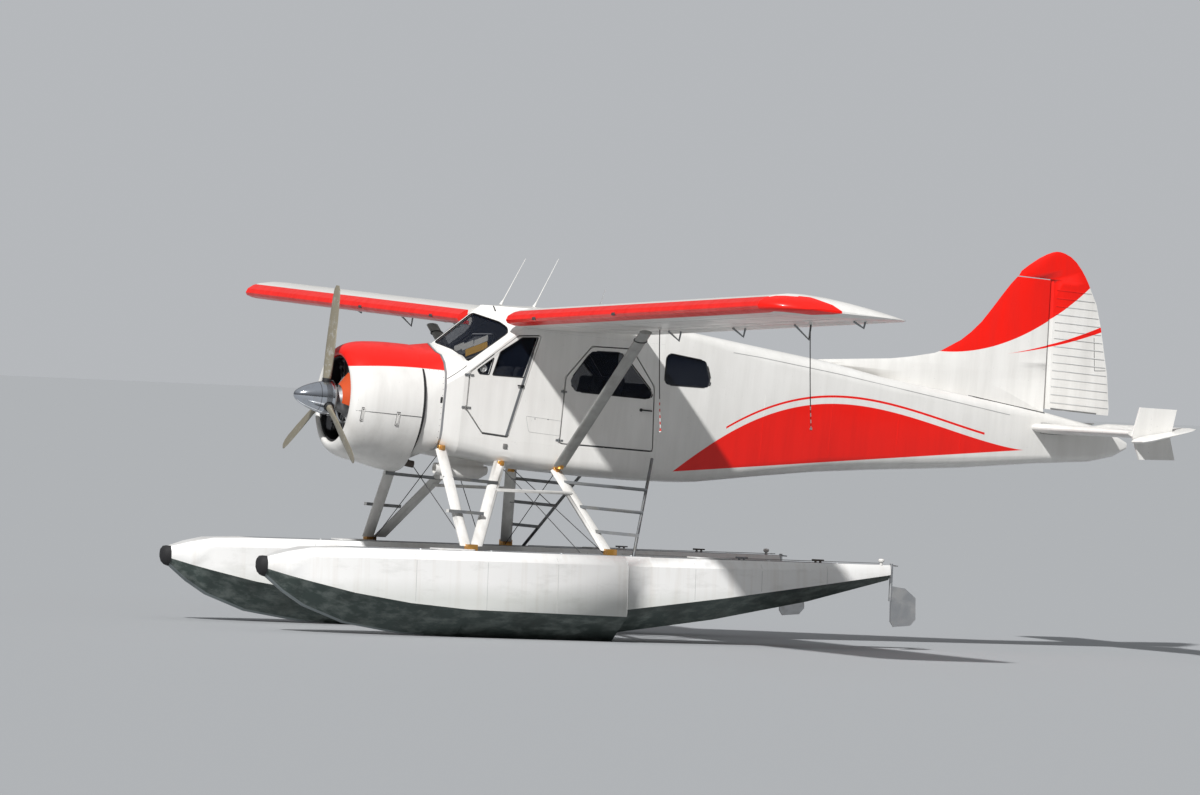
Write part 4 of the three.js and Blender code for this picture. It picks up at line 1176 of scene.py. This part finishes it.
# Doors and windows. Their outlines on the side walls run aft and up
SIDE = 0.6602
CREW_DOOR = [(1.700, 0.418), (2.222, 0.858), (2.488, 0.884), (2.212, -0.236), (1.911, -0.223), (1.700, 0.020)]
CREW_PANE = [(1.968, 0.411), (2.324, 0.421), (2.444, 0.850), (2.266, 0.832), (2.034, 0.660)]
VENT_PANE = [(1.792, 0.448), (1.818, 0.411), (1.922, 0.411), (1.962, 0.590)]
CABIN_DOOR = [
    (2.800, 0.471), (3.073, 0.830), (3.546, 0.850), (3.848, 0.470), (3.897, -0.228), (2.800, -0.244),
]
CABIN_PANE = [(2.858, 0.440), (3.078, 0.772), (3.440, 0.790), (3.830, 0.405), (3.812, 0.332), (2.925, 0.328)]
REAR_PANE = [(3.952, 0.842), (4.428, 0.800), (4.503, 0.600), (4.490, 0.520), (3.955, 0.503)]
WINDSHIELD = [
    (0.017, 1.532), (0.017, 1.932), (0.370, 2.108), (0.500, 2.146), (0.570, 2.132), (0.542, 1.724),
    (0.422, 1.694), (0.260, 1.645),
]


def on_windshield(x, y):
    """A place just off the port windshield's outer face"""
    normal = Vector((0.4416, -0.5935, 0.6727))
    z = 0.699 - (normal.x * x + normal.y * (y - 1.513)) / normal.z
    return Vector((x, y, z)) + 0.002 * normal


def beside(outline):
    """A side wall's outline as places on that wall"""
    return [(SIDE, y, z) for y, z in outline]


def hinge(name, y, z, body_pair, reach=0.052):
    """A strap hinge: one leaf and the pin on the wall, the other on the door, clear of the pin as it turns"""
    wall = block(name, (SIDE - 0.012, y - reach, z - 0.012), (0.666, y - 0.010, z + 0.012), 0.002)
    pin = rod("pin", (0.6665, y - 0.009, z - 0.020), (0.6665, y - 0.009, z + 0.020), 0.006, sides=10)
    both_sides(joined(name, [wall, pin]), "tread")
    leaf = block(f"{name}_leaf", (SIDE - 0.004, y + 0.014, z - 0.011), (0.6655, y + reach, z + 0.011), 0.002)
    both_sides(leaf, "tread", body_pair)


def handle(name, y, z, body_pair, reach=-0.058):
    """A door handle: a round seat with a lever across it"""
    fore, aft = min(y, y + reach) - 0.008, max(y, y + reach) + 0.008
    parts = [
        rod(name, (SIDE - 0.002, y, z), (0.669, y, z), 0.019, 0.016, 20),
        rod("stem", (0.665, y, z), (0.680, y, z), 0.008, sides=12),
        block("lever", (0.674, fore, z - 0.008), (0.682, aft, z + 0.008), 0.003),
    ]
    both_sides(joined(name, parts), "black", body_pair)


def vent():
    """A round vent in the crew door's small pane"""
    y, z = 1.862, 0.468
    ring = [(0.640 + a, y, z + 0.036 + b) for a, b in oval(8, 0.0055)]
    both_sides(turned("vent_ring", ring, (0, y, z), (1, 0, 0), 32), "bright", pair("crew_door"), smooth=60)
    profile = [(0.648, 0), (0.646, 0.012), (0.639, 0.020), (0.637, 0.033), (0.6345, 0.033), (0.6345, 0)]
    cap = turned("vent_cap", [(x, y, z + r) for x, r in profile], (0, y, z), (1, 0, 0), 32)
    both_sides(cap, "rib", pair("crew_door"))


def door_seams():
    """The gap round each door"""
    seal("crew_door_seam", crew_doors, CREW_DOOR, 0.03, "seam", 0.003, -0.012)
    seal("cabin_door_seam", cabin_doors, CABIN_DOOR, 0.04, "seam", 0.003, -0.012)


def pane_seals():
    """Rubber round the panes and the windshield"""
    seal("crew_pane_seal", crew_doors, CREW_PANE, 0.014)
    seal("vent_pane_seal", crew_doors, VENT_PANE, 0.014)
    seal("cabin_pane_seal", cabin_doors, CABIN_PANE, 0.075)
    seal("rear_pane_seal", (rear, rear), REAR_PANE, 0.075)
    frame_line = [on_windshield(x, y) for x, y in rounded(WINDSHIELD, 0.03)]
    both_sides(wire("windshield_seal", frame_line, 0.006, 1), "rubber", smooth=60)


def door_trims():
    """The crew door's dark rear strip, a painted shadow of the gap at the door's rear edge, and a sill under
    each door
    """
    strip = [(2.414, 0.688), (2.200, -0.227), (2.172, -0.227), (2.386, 0.700)]
    both_sides(plate("crew_door_gap_shadow", beside(strip), (0.0035, 0, 0)), "edge", pair("crew_door"))
    sills = {
        "crew_door": [(1.906, -0.216), (2.193, -0.229), (2.193, -0.214), (1.912, -0.202)],
        "cabin_door": [(2.900, -0.236), (3.885, -0.222), (3.885, -0.212), (2.900, -0.226)],
    }
    for door, outline in sills.items():
        both_sides(plate(f"{door}_sill", beside(outline), (0.004, 0, 0)), "seam", pair(door))


def hinges_and_handles():
    hinge("crew_hinge_upper", 1.702, 0.385, pair("crew_door"))
    hinge("crew_hinge_lower", 1.702, 0.040, pair("crew_door"))
    hinge("cabin_hinge_upper", 2.802, 0.314, pair("cabin_door"), 0.034)
    hinge("cabin_hinge_lower", 2.802, -0.205, pair("cabin_door"), 0.042)
    handle("crew_handle", 2.322, 0.325, pair("crew_door"))
    handle("cabin_handle", 3.712, 0.207, pair("cabin_door"), 0.115)


def side_panels():
    """The panel outline and two screws between the doors"""
    outline = rounded([(2.394, 0.015), (2.806, 0.000), (2.806, -0.158), (2.440, -0.150)], 0.02)
    for piece, (end, side) in zip(side_skins, ENDS):
        seams(f"side_panel_line_{end}", piece, [outline], "rib", (side,), 0.002, steps=2)
        studs(f"side_screws_{end}", piece, [((2.50, -0.006), (2.65, 0.002), 2)], "tread", (side,), 0.009)


def nose_lines():
    """Panel lines ahead of the crew doors, and the rear cowl's screws"""
    lines = [[(1.4745, -0.42), (1.4745, 0.46)], [(1.480, 0.32), (1.697, 0.481)]]
    seams("nose_panel_lines", front, lines, radius=0.0035)
    rows = [((1.260, 0.395), (1.440, 0.402), 5), ((1.440, -0.500), (1.440, 0.330), 14)]
    studs("cowl_screws", rear_cowl, rows, "seam", radius=0.0045)


def body_lines():
    """The rear body's crease, frames and rivets"""
    crease = [(4.75, 0.925), (5.087, 0.908), (6.099, 0.825), (7.589, 0.667), (8.300, 0.590)]
    seams("body_crease", rear, [crease], "rib", radius=0.004)
    lines = [[(y, -0.25), (y, 0.52)] for y in (5.20, 6.05, 6.90, 7.70)]
    seams("body_frames", rear, lines, "body", radius=0.002)
    rows = [((4.1, -0.44), (8.2, 0.02), 60), ((4.8, 0.87), (7.9, 0.60), 44)]
    studs("body_rivets", rear, rows, "body", radius=0.004)


def whip(name, base, tip):
    """A whip aerial on a small tapered foot"""
    base, tip = Vector(base), Vector(tip)
    middle = (base + tip) / 2
    foot = base + (middle - base).normalized() * 0.05
    return joined(name, [
        rod(name, base - (foot - base) * 0.2, foot, 0.020, 0.007),
        rod("lower", foot, middle, 0.0055, 0.004, 8),
        rod("upper", middle, tip, 0.004, 0.0025, 8),
    ])


def roof_items():
    """Whips and a probe on the roof, a whip above the wing, and the roof's seams"""
    fitted(whip("roof_whip_front", (0, 2.260, 1.185), (0, 2.492, 1.695)), "white")
    fitted(whip("roof_whip_rear", (0, 2.645, 1.200), (0, 2.875, 1.735)), "white")
    fitted(rod("roof_probe", (0.2, 2.148, 1.048), (0.2, 2.090, 1.152), 0.009, 0.006, 10), "black")
    mast = whip("wing_whip", (2.300, 2.400, 1.185), (2.425, 2.400, 1.394))
    fitted(mast, "aluminium")
    line = [(0.03, 2.20), (0.40, 2.20)]
    seams("roof_lines", roof, [line, [(0.03, 3.2), (0.60, 3.2)]], "rib", (1,), 0.002, along="z")


door_seams()
pane_seals()
door_trims()
hinges_and_handles()
vent()
side_panels()
nose_lines()
body_lines()
both_sides(block("step_bracket", (0.650, 2.163, -0.352), (0.674, 2.211, -0.300), 0.006), "tread")
roof_items()


# Cabin
FLOOR = -0.27
SEAT_WIDTH = 0.480
SEAT_FRONT = 2.020
PAD_GRID = 0.012
PAD_SWELL = 0.016
PAD_PRESSURE = 4
CLOTH_STEPS = 20


def glareshield():
    """The padded hood over the panel"""
    hood = [(-0.34, 1.545, 0.582), (0.34, 1.545, 0.582), (0.42, 1.82, 0.540), (-0.42, 1.82, 0.540)]
    fitted(plate("glareshield", hood, (0, 0.002, 0.014), 0.06), "lining_and_shade")


def dials():
    """Two rows of dials a side and two in the middle, each with a bezel, a face and a needle"""
    bezels, faces, needles = [], [], []
    columns = (-0.37, -0.27, -0.17, 0.17, 0.27, 0.37)
    profile = ((0, 0.040), (0.010, 0.040), (0.010, 0.034), (0.003, 0.032), (0, 0.040))
    for i, (x, z) in enumerate([(x, z) for z in (0.25, 0.36) for x in columns] + [(0.0, 0.30), (0.0, 0.41)]):
        y = 1.7405 + 0.0606 * (z - 0.14)
        ring = [(x, y + back, z + r) for back, r in profile]
        bezels.append(turned("dial_bezels", ring, (x, y, z), (0, 1, 0), 24))
        faces.append(rod("dial_faces", (x, y, z), (x, y + 0.004, z), 0.034, sides=24))
        turn = i * 0.9
        tip = (x + 0.025 * math.sin(turn), y + 0.0062, z + 0.025 * math.cos(turn))
        needles.append(rod("dial_needles", (x, y + 0.0055, z), tip, 0.002, 0.0008, 6))
    fitted(joined("dial_bezels", bezels), "black")
    fitted(joined("dial_faces", faces), "dial")
    fitted(joined("dial_needles", needles), "paper")


def control_column():
    """The forked column that carries both wheels"""
    column = [(0, 1.80, -0.26), (0, 1.86, 0.02), (0, 1.88, 0.30), (0.10, 1.89, 0.43), (0.30, 1.90, 0.47)]
    arm = [(0, 1.88, 0.28), (-0.10, 1.89, 0.43), (-0.30, 1.90, 0.47)]
    bars = [wire("column", eased(column, 4), 0.020, 3), wire("arm", eased(arm, 4), 0.018, 3)]
    fitted(joined("control_column", bars), "panel", smooth=60)


def control_wheels():
    """A wheel with its hub and spoke in front of each seat"""
    for end, side in ENDS:
        x = side * 0.30
        circle = [(x + b, 1.93, 0.47 + a) for a, b in oval(24, 0.13)]
        parts = [
            wire("wheel", circle, 0.011, 3), rod("hub", (x, 1.895, 0.47), (x, 1.940, 0.47), 0.030, 0.024, 20),
            rod("spoke", (x - 0.125, 1.93, 0.47), (x + 0.125, 1.93, 0.47), 0.009, sides=10),
        ]
        fitted(joined(f"control_wheel_{end}", parts), "black", smooth=50)


def engine_levers():
    """Three levers with knobs on top of the panel"""
    levers = []
    for i, x in enumerate((-0.06, 0.0, 0.06)):
        y, z = 1.80 + 0.01 * i, 0.53 + 0.012 * i
        levers.append(rod("levers", (x, 1.745, 0.475), (x, y, z), 0.005, sides=8))
        levers.append(rod("knob", (x, y - 0.005, z - 0.005), (x, y + 0.015, z + 0.015), 0.014))
    fitted(joined("engine_levers", levers), "black")


def charts():
    """A tray behind the windshield with a folder and loose sheets"""
    tray = [(0.530, 1.715, 0.556), (0.530, 1.990, 0.684), (0.120, 1.990, 0.684), (0.120, 1.715, 0.556)]
    fitted(plate("chart_tray", tray, (0, 0.003, -0.006), 0.02), "lining_and_shade")
    folder = [(0.420, 1.736, 0.579), (0.420, 1.977, 0.691), (0.340, 2.001, 0.766), (0.340, 1.760, 0.654)]
    fitted(plate("chart_folder", folder, (-0.006, 0.001, -0.006), 0.008), "folder")
    sheets = (
        (0.330, 0.270, 1.860, 0.700, 0.150), (0.300, 0.220, 1.740, 0.640, 0.130),
        (0.220, 0.140, 1.690, 0.620, 0.110),
    )
    for i, (near, far, fore, low, long) in enumerate(sheets):
        aft, rise = fore + long, low + 0.5 * long
        sheet = [(near, fore, low), (near, aft, rise)]
        sheet += [(far, aft + 0.02, rise + 0.062), (far, fore + 0.02, low + 0.062)]
        fitted(plate(f"chart_sheet_{i + 1}", sheet, (-0.002, 0, -0.002)), "paper", smooth=None)


def stuffed(piece):
    """Swells a closed pad by a cloth simulation, and holds each point near its start"""
    changed(piece, "REMESH", mode="VOXEL", voxel_size=PAD_GRID)
    start = [vertex.co.copy() for vertex in piece.data.vertices]
    take(piece)
    bpy.ops.object.modifier_add(type="CLOTH")
    cloth = piece.modifiers[-1]
    cloth.settings.use_pressure = True
    cloth.settings.uniform_pressure_force = PAD_PRESSURE
    cloth.settings.effector_weights.gravity = 0
    cloth.point_cache.frame_start = 1
    cloth.point_cache.frame_end = CLOTH_STEPS
    for step in range(CLOTH_STEPS):
        bpy.context.scene.frame_set(step + 1)
    bpy.ops.object.modifier_apply(modifier=cloth.name)
    for vertex, before in zip(piece.data.vertices, start):
        way = vertex.co - before
        if way.length > PAD_SWELL:
            vertex.co = before + way.normalized() * PAD_SWELL
    bpy.context.scene.frame_set(1)
    return changed(piece, "SUBSURF", levels=1, render_levels=1)


def pad(name, outline, half):
    """A cushion from its side outline, rounded at the edges and stuffed"""
    piece = face_of(name, [(-half, y, z) for y, z in outline])
    thicken(piece, (2 * half, 0, 0))
    edge = math.radians(35)
    changed(piece, "BEVEL", width=0.022, segments=3, limit_method="ANGLE", angle_limit=edge)
    return stuffed(piece)


def seat_frame(name, x, half, y, depth):
    """A tube frame on two floor rails"""
    wide, ahead, aft = 0.76 * half, y + 0.05, y + depth - 0.07
    low, high = (x - half * 0.9, y + 0.02, FLOOR + 0.147), (x + half * 0.9, y + depth - 0.03, FLOOR + 0.163)
    parts = [block(name, low, high, 0.005)]
    for side in (-1, 1):
        across = x + side * wide
        low, high = (across - 0.016, ahead - 0.03, FLOOR + 0.004), (across + 0.016, aft + 0.03, FLOOR + 0.02)
        parts.append(block("rail", low, high, 0.003))
        for place in (ahead, aft):
            parts.append(rod("leg", (across, place, FLOOR + 0.016), (across, place, FLOOR + 0.150), 0.012))
        low, high = (across, ahead, FLOOR + 0.03), (across, aft, FLOOR + 0.145)
        parts.append(rod("brace", low, high, 0.008, sides=10))
    return fitted(joined(name, parts), "panel")


def seats():
    """Front seats and two benches, all made from one simulated cushion and one simulated back"""
    cushion = pad("seat_cushion", [(2.030, -0.100), (2.430, -0.100), (2.430, -0.012), (2.030, -0.012)], 0.228)
    back = pad("seat_back", [(2.352, 0.012), (2.428, -0.030), (2.532, 0.548), (2.458, 0.556)], 0.228)
    rows = (
        ("front_seat_left", 0.300, SEAT_WIDTH, 1, SEAT_FRONT, 0.420),
        ("front_seat_right", -0.300, SEAT_WIDTH, 1, SEAT_FRONT, 0.420),
        ("middle_bench", 0.0, 1.080, 3, 3.050, 0.420),
        ("rear_bench", 0.0, 0.900, 2, 3.960, 0.400),
    )
    for node, middle, width, count, y, depth in rows:
        frame_piece = seat_frame(f"{node}_frame", middle, width / 2, y, depth)
        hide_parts(node)
        for i in range(count):
            each = width / count
            x = middle + (i - (count - 1) / 2) * each
            place = Matrix.Translation((x, y - SEAT_FRONT, 0)) @ Matrix.Diagonal((each / SEAT_WIDTH, 1, 1, 1))
            for part, source in (("cushion", cushion), ("back", back)):
                piece = copied(source, f"{node}_{part}_{i + 1}", place)
                fitted(piece, "seat", smooth=60)
    bpy.data.objects.remove(cushion)
    bpy.data.objects.remove(back)


glareshield()
dials()
control_column()
control_wheels()
engine_levers()
charts()
seats()


# Wings and tail
def strut_bands():
    """A dark band round the top of each wing strut"""
    low, high = Vector((0.672, 2.833, -0.470)), Vector((2.900, 2.690, 0.966))
    way = (high - low).normalized()
    fore = (Vector((0, 1, 0)) - way * way.y).normalized()
    thick = way.cross(fore)
    middle = low.lerp(high, 0.94)
    loop = [middle + a * fore + b * thick for a, b in oval(24, 0.073, 0.031)]
    both_sides(wire("strut_band", loop, 0.006, 1), "seam", smooth=60)


def wing_lines():
    """Seams and rivets on the wing, and ribs on its flaps and ailerons"""
    tops = [[(0.2, y), (6.15, y)] for y in (2.42, 2.98)]
    tops += [[(1.1 + i, 2.12), (1.1 + i, 3.16)] for i in range(6)]
    ribs = {
        "flap": ([0.22 + RIB_PITCH * i for i in range(15)], flaps),
        "aileron": ([3.42 + RIB_PITCH * i for i in range(14)], ailerons),
    }
    for i, (end, side) in enumerate(ENDS):
        place = WING if side == 1 else MIRROR @ WING
        seams(f"wing_seams_{end}", wings[i], tops, "rib", (1, -1), 0.0018, place, "z", 6)
        rivets = [((0.25, y), (6.1, y), 40) for y in (2.30, 2.90)]
        studs(f"wing_rivets_{end}", wings[i], rivets, "rib", (1,), 0.0045, place, "z")
        for kind, (stations, surfaces) in ribs.items():
            lines = [[(x, 3.235), (x, 3.595)] for x in stations]
            seams(f"{kind}_ribs_{end}", surfaces[i], lines, "white", (1, -1), 0.0045, place, "z", 5)


def hinge_arms():
    """The arms under the wing that the flaps and ailerons turn on"""
    arms = (
        ("flap_arm_inner", 1.54, (3.385, -0.118), (3.400, -0.02), "flap"),
        ("flap_arm_outer", 3.15, (3.385, -0.110), (3.400, -0.02), "flap"),
        ("aileron_arm_inner", 4.65, (3.430, -0.165), (3.440, -0.01), "aileron"),
        ("aileron_arm_outer", 6.05, (3.370, -0.085), (3.385, -0.01), "aileron"),
    )
    for name, out, low_point, back_point, kind in arms:
        points = [(out, 3.255, -0.03), (out, *low_point), (out, *back_point)]
        both_sides(wire(name, points, 0.012, 2), "tread", pair(kind), WING, smooth=60)


def edge_tabs():
    """Small dark tabs on the leading edge"""
    for name, out in (("edge_tab_inner", 0.76), ("edge_tab_outer", 2.82)):
        tab = block(name, (out - 0.035, 2.040, -0.016), (out + 0.035, 2.066, 0.014), 0.006)
        both_sides(tab, "seam", place=WING)


RUDDER_EDGE = [(0.702, 9.598), (0.780, 9.597), (1.151, 9.536), (1.656, 9.405), (1.897, 9.328), (2.067, 9.233)]


def rudder_lines():
    """Ribs across the rudder in a greyer enamel that paints the shade along the corrugations, and the trim
    tab's outline
    """
    heights = [0.78 + 0.088 * i for i in range(15)]
    lines = [[(8.865 - 0.037 * (z - 0.7), z), (between(RUDDER_EDGE, z) - 0.015, z)] for z in heights]
    seams("rudder_ribs", rudder, lines, "ridge_shade", radius=0.0065)
    seams("trim_tab_line", rudder, [[(9.331, 1.537), (9.371, 1.176), (9.512, 1.190)]], radius=0.003)


def fin_lines():
    """A dark strip at the fin's foot, and its rivets"""
    seams("fin_base_strip", rear, [[(7.823, 0.752), (8.300, 0.700), (8.760, 0.652)]], "black", radius=0.008)
    rows = [
        ((8.745, 0.80), (8.700, 2.02), 26), ((7.86, 0.80), (7.86, 1.28), 11),
        ((8.10, 0.80), (8.36, 2.00), 26),
    ]
    studs("fin_rivets", fin, rows, "tail", radius=0.0045)


def rudder_foot():
    """A rod along the rudder's foot"""
    foot = rod("rudder_foot_rod", (0.035, 8.87, 0.712), (0.035, 9.43, 0.708), 0.008, sides=10)
    fitted(foot, "tread", "rudder")


def tailplane_lines():
    """Root seams, elevator ribs and finlet rivets"""
    for i, (end, side) in enumerate(ENDS):
        root = [(side * 0.175, 8.60), (side * 0.175, 9.10)]
        seams(f"tailplane_root_{end}", tailplanes[i], [root], radius=0.006, along="z")
        ribs = [[(side * (0.35 + 0.15 * k), 9.19), (side * (0.35 + 0.15 * k), 9.62)] for k in range(12)]
        seams(f"elevator_ribs_{end}", elevators[i], ribs, "white", radius=0.0045, along="z", steps=5)
        rows = [((y, 0.30), (y, 0.66), 7) for y in (8.74, 9.05)]
        studs(f"finlet_rivets_{end}", tailplanes[i], rows, "rib", (side,), 0.0045)


strut_bands()
wing_lines()
hinge_arms()
edge_tabs()
rudder_lines()
fin_lines()
rudder_foot()
tailplane_lines()


# Floats and their struts
def lug(name, x, y, z):
    """A gold end fitting with its cross bolt"""
    parts = [
        block(name, (x - 0.030, y - 0.038, z - 0.030), (x + 0.034, y + 0.038, z + 0.034), 0.012),
        rod("bolt", (x - 0.045, y, z), (x + 0.052, y, z), 0.014, sides=12),
        rod("nut", (x + 0.034, y, z), (x + 0.046, y, z), 0.022, sides=6),
        rod("ring", (x, y, z - 0.045), (x, y, z + 0.01), 0.040, 0.030, 16),
    ]
    both_sides(joined(name, parts), "gold")


def cleat(name, x, y, look):
    """A mooring cleat on a float's deck"""
    parts = [rod(name, (x, y - 0.070, DECK + 0.027), (x, y + 0.070, DECK + 0.027), 0.0095, 0.007, 12)]
    for step in (-0.028, 0.028):
        parts.append(rod("post", (x, y + step, DECK - 0.002), (x, y + step, DECK + 0.028), 0.014, 0.010, 12))
    both_sides(joined(name, parts), look, place=FLOATS, smooth=50)


def stays():
    """Bracing wires under the body, from the leg fittings to the decks"""
    to_air = AIRFRAME.inverted() @ FLOATS
    routes = (
        ("stay_diagonal", (0.615, 2.169, -0.535), (1.350, 2.780, 0.925)),
        ("stay_cross_front", (-0.560, 1.500, -0.440), (1.330, 1.520, 0.925)),
        ("stay_cross_rear", (-0.560, 2.830, -0.550), (1.330, 3.060, 0.925)),
    )
    for name, start, foot in routes:
        both_sides(wire(name, [start, to_air @ Vector(foot)], 0.0045, 2), "seam", smooth=60)


def float_lines():
    """Frame lines, gunwale rivets and pump caps on each float"""
    for hull, (end, side) in zip(floats, ENDS):
        frames = [[(y, 0.30), (y, 0.865)] for y in (0.75, 1.55, 2.35, 3.15, 3.95, 4.75, 5.55)]
        seams(f"float_frames_{end}", hull, frames, "rib", (1, -1), 0.002, FLOATS, steps=16, least_up=-0.2)
        gunwale = [((0.45, 0.872), (6.25, 0.885), 66)]
        studs(f"float_rivets_{end}", hull, gunwale, "float", (side,), 0.005, FLOATS)
        middle = side * FLOAT_X
        caps = [((middle + 0.10, 0.9), (middle + 0.10, 5.7), 7)]
        studs(f"pump_caps_{end}", hull, caps, "aluminium", (1,), 0.022, FLOATS, "z")


def hatches():
    """Two raised lids on each deck"""
    for name, y in (("front_hatch", 1.10), ("rear_hatch", 4.05)):
        inner, outer, aft, low = FLOAT_X - 0.17, FLOAT_X + 0.13, y + 0.42, DECK - 0.001
        lid = [(inner, y, low), (outer, y, low), (outer, aft, low), (inner, aft, low)]
        both_sides(plate(name, lid, (0, 0, 0.014), 0.04), "float", place=FLOATS)


def stern_knobs():
    """A turned mooring knob at each float's stern"""
    profile = (
        (0, -0.004), (0.016, -0.004), (0.014, 0.020), (0.030, 0.030), (0.034, 0.046), (0.024, 0.060),
        (0, 0.064),
    )
    x, y = FLOAT_X + 0.06, 6.24
    knob = turned("stern_knob", [(x + r, y, DECK + up) for r, up in profile], (x, y, 0), (0, 0, 1), 24)
    both_sides(knob, "white", place=FLOATS)


def rudder_controls():
    """The water rudders' cables along the decks, and their tiller bars"""
    route = ((0.15, 3.30, 0.012), (0.13, 4.6, 0.010), (0.05, 6.30, 0.012))
    cable = eased([(FLOAT_X - inward, y, DECK + up) for inward, y, up in route], 3)
    both_sides(wire("rudder_cable", cable, 0.0035, 2), "tread", place=FLOATS, smooth=60)
    tiller = block("tiller_bar", (FLOAT_X - 0.10, 6.402, 0.893), (FLOAT_X + 0.10, 6.424, 0.905), 0.004)
    both_sides(tiller, "tread", pair("water_rudder"), FLOATS)


# Step treads on the front legs: their distance out, first and last station, and height
TREADS = ((0.80, 1.44, 2.075, -0.722), (1.15, 1.40, 1.80, -1.065), (0.835, 2.01, 2.915, -0.776))


def strut_finishes():
    """Gold shoes, and bare treads on the legs"""
    for leg in (*front_legs, *rear_legs):
        paint_faces(leg, "gold", lambda c, n: c.z < DECK + 0.064, FLOATS)
    for leg in front_legs:
        for x, y0, y1, z in TREADS:
            def on_tread(c, n):
                within = y0 - 0.01 < c.y < y1 + 0.01 and abs(abs(c.x) - x) < 0.12 and abs(c.z - z) < 0.027
                return within and (abs(n.z) > 0.99 or abs(n.x) > 0.99)
            paint_faces(leg, "tread", on_tread)


FITTINGS = {
    "front": (0.600, 1.485, -0.415), "middle": (0.615, 2.169, -0.520),
    "rear": (0.605, 2.820, -0.530), "strut": (0.676, 2.833, -0.462),
}
for fitting, fitting_place in FITTINGS.items():
    lug(f"fitting_{fitting}", *fitting_place)
stays()
float_lines()
hatches()
cleat("cleat_front", FLOAT_X + 0.17, 4.55, "tread")
cleat("cleat_rear", FLOAT_X + 0.13, 5.46, "exhaust")
stern_knobs()
rudder_controls()
strut_finishes()
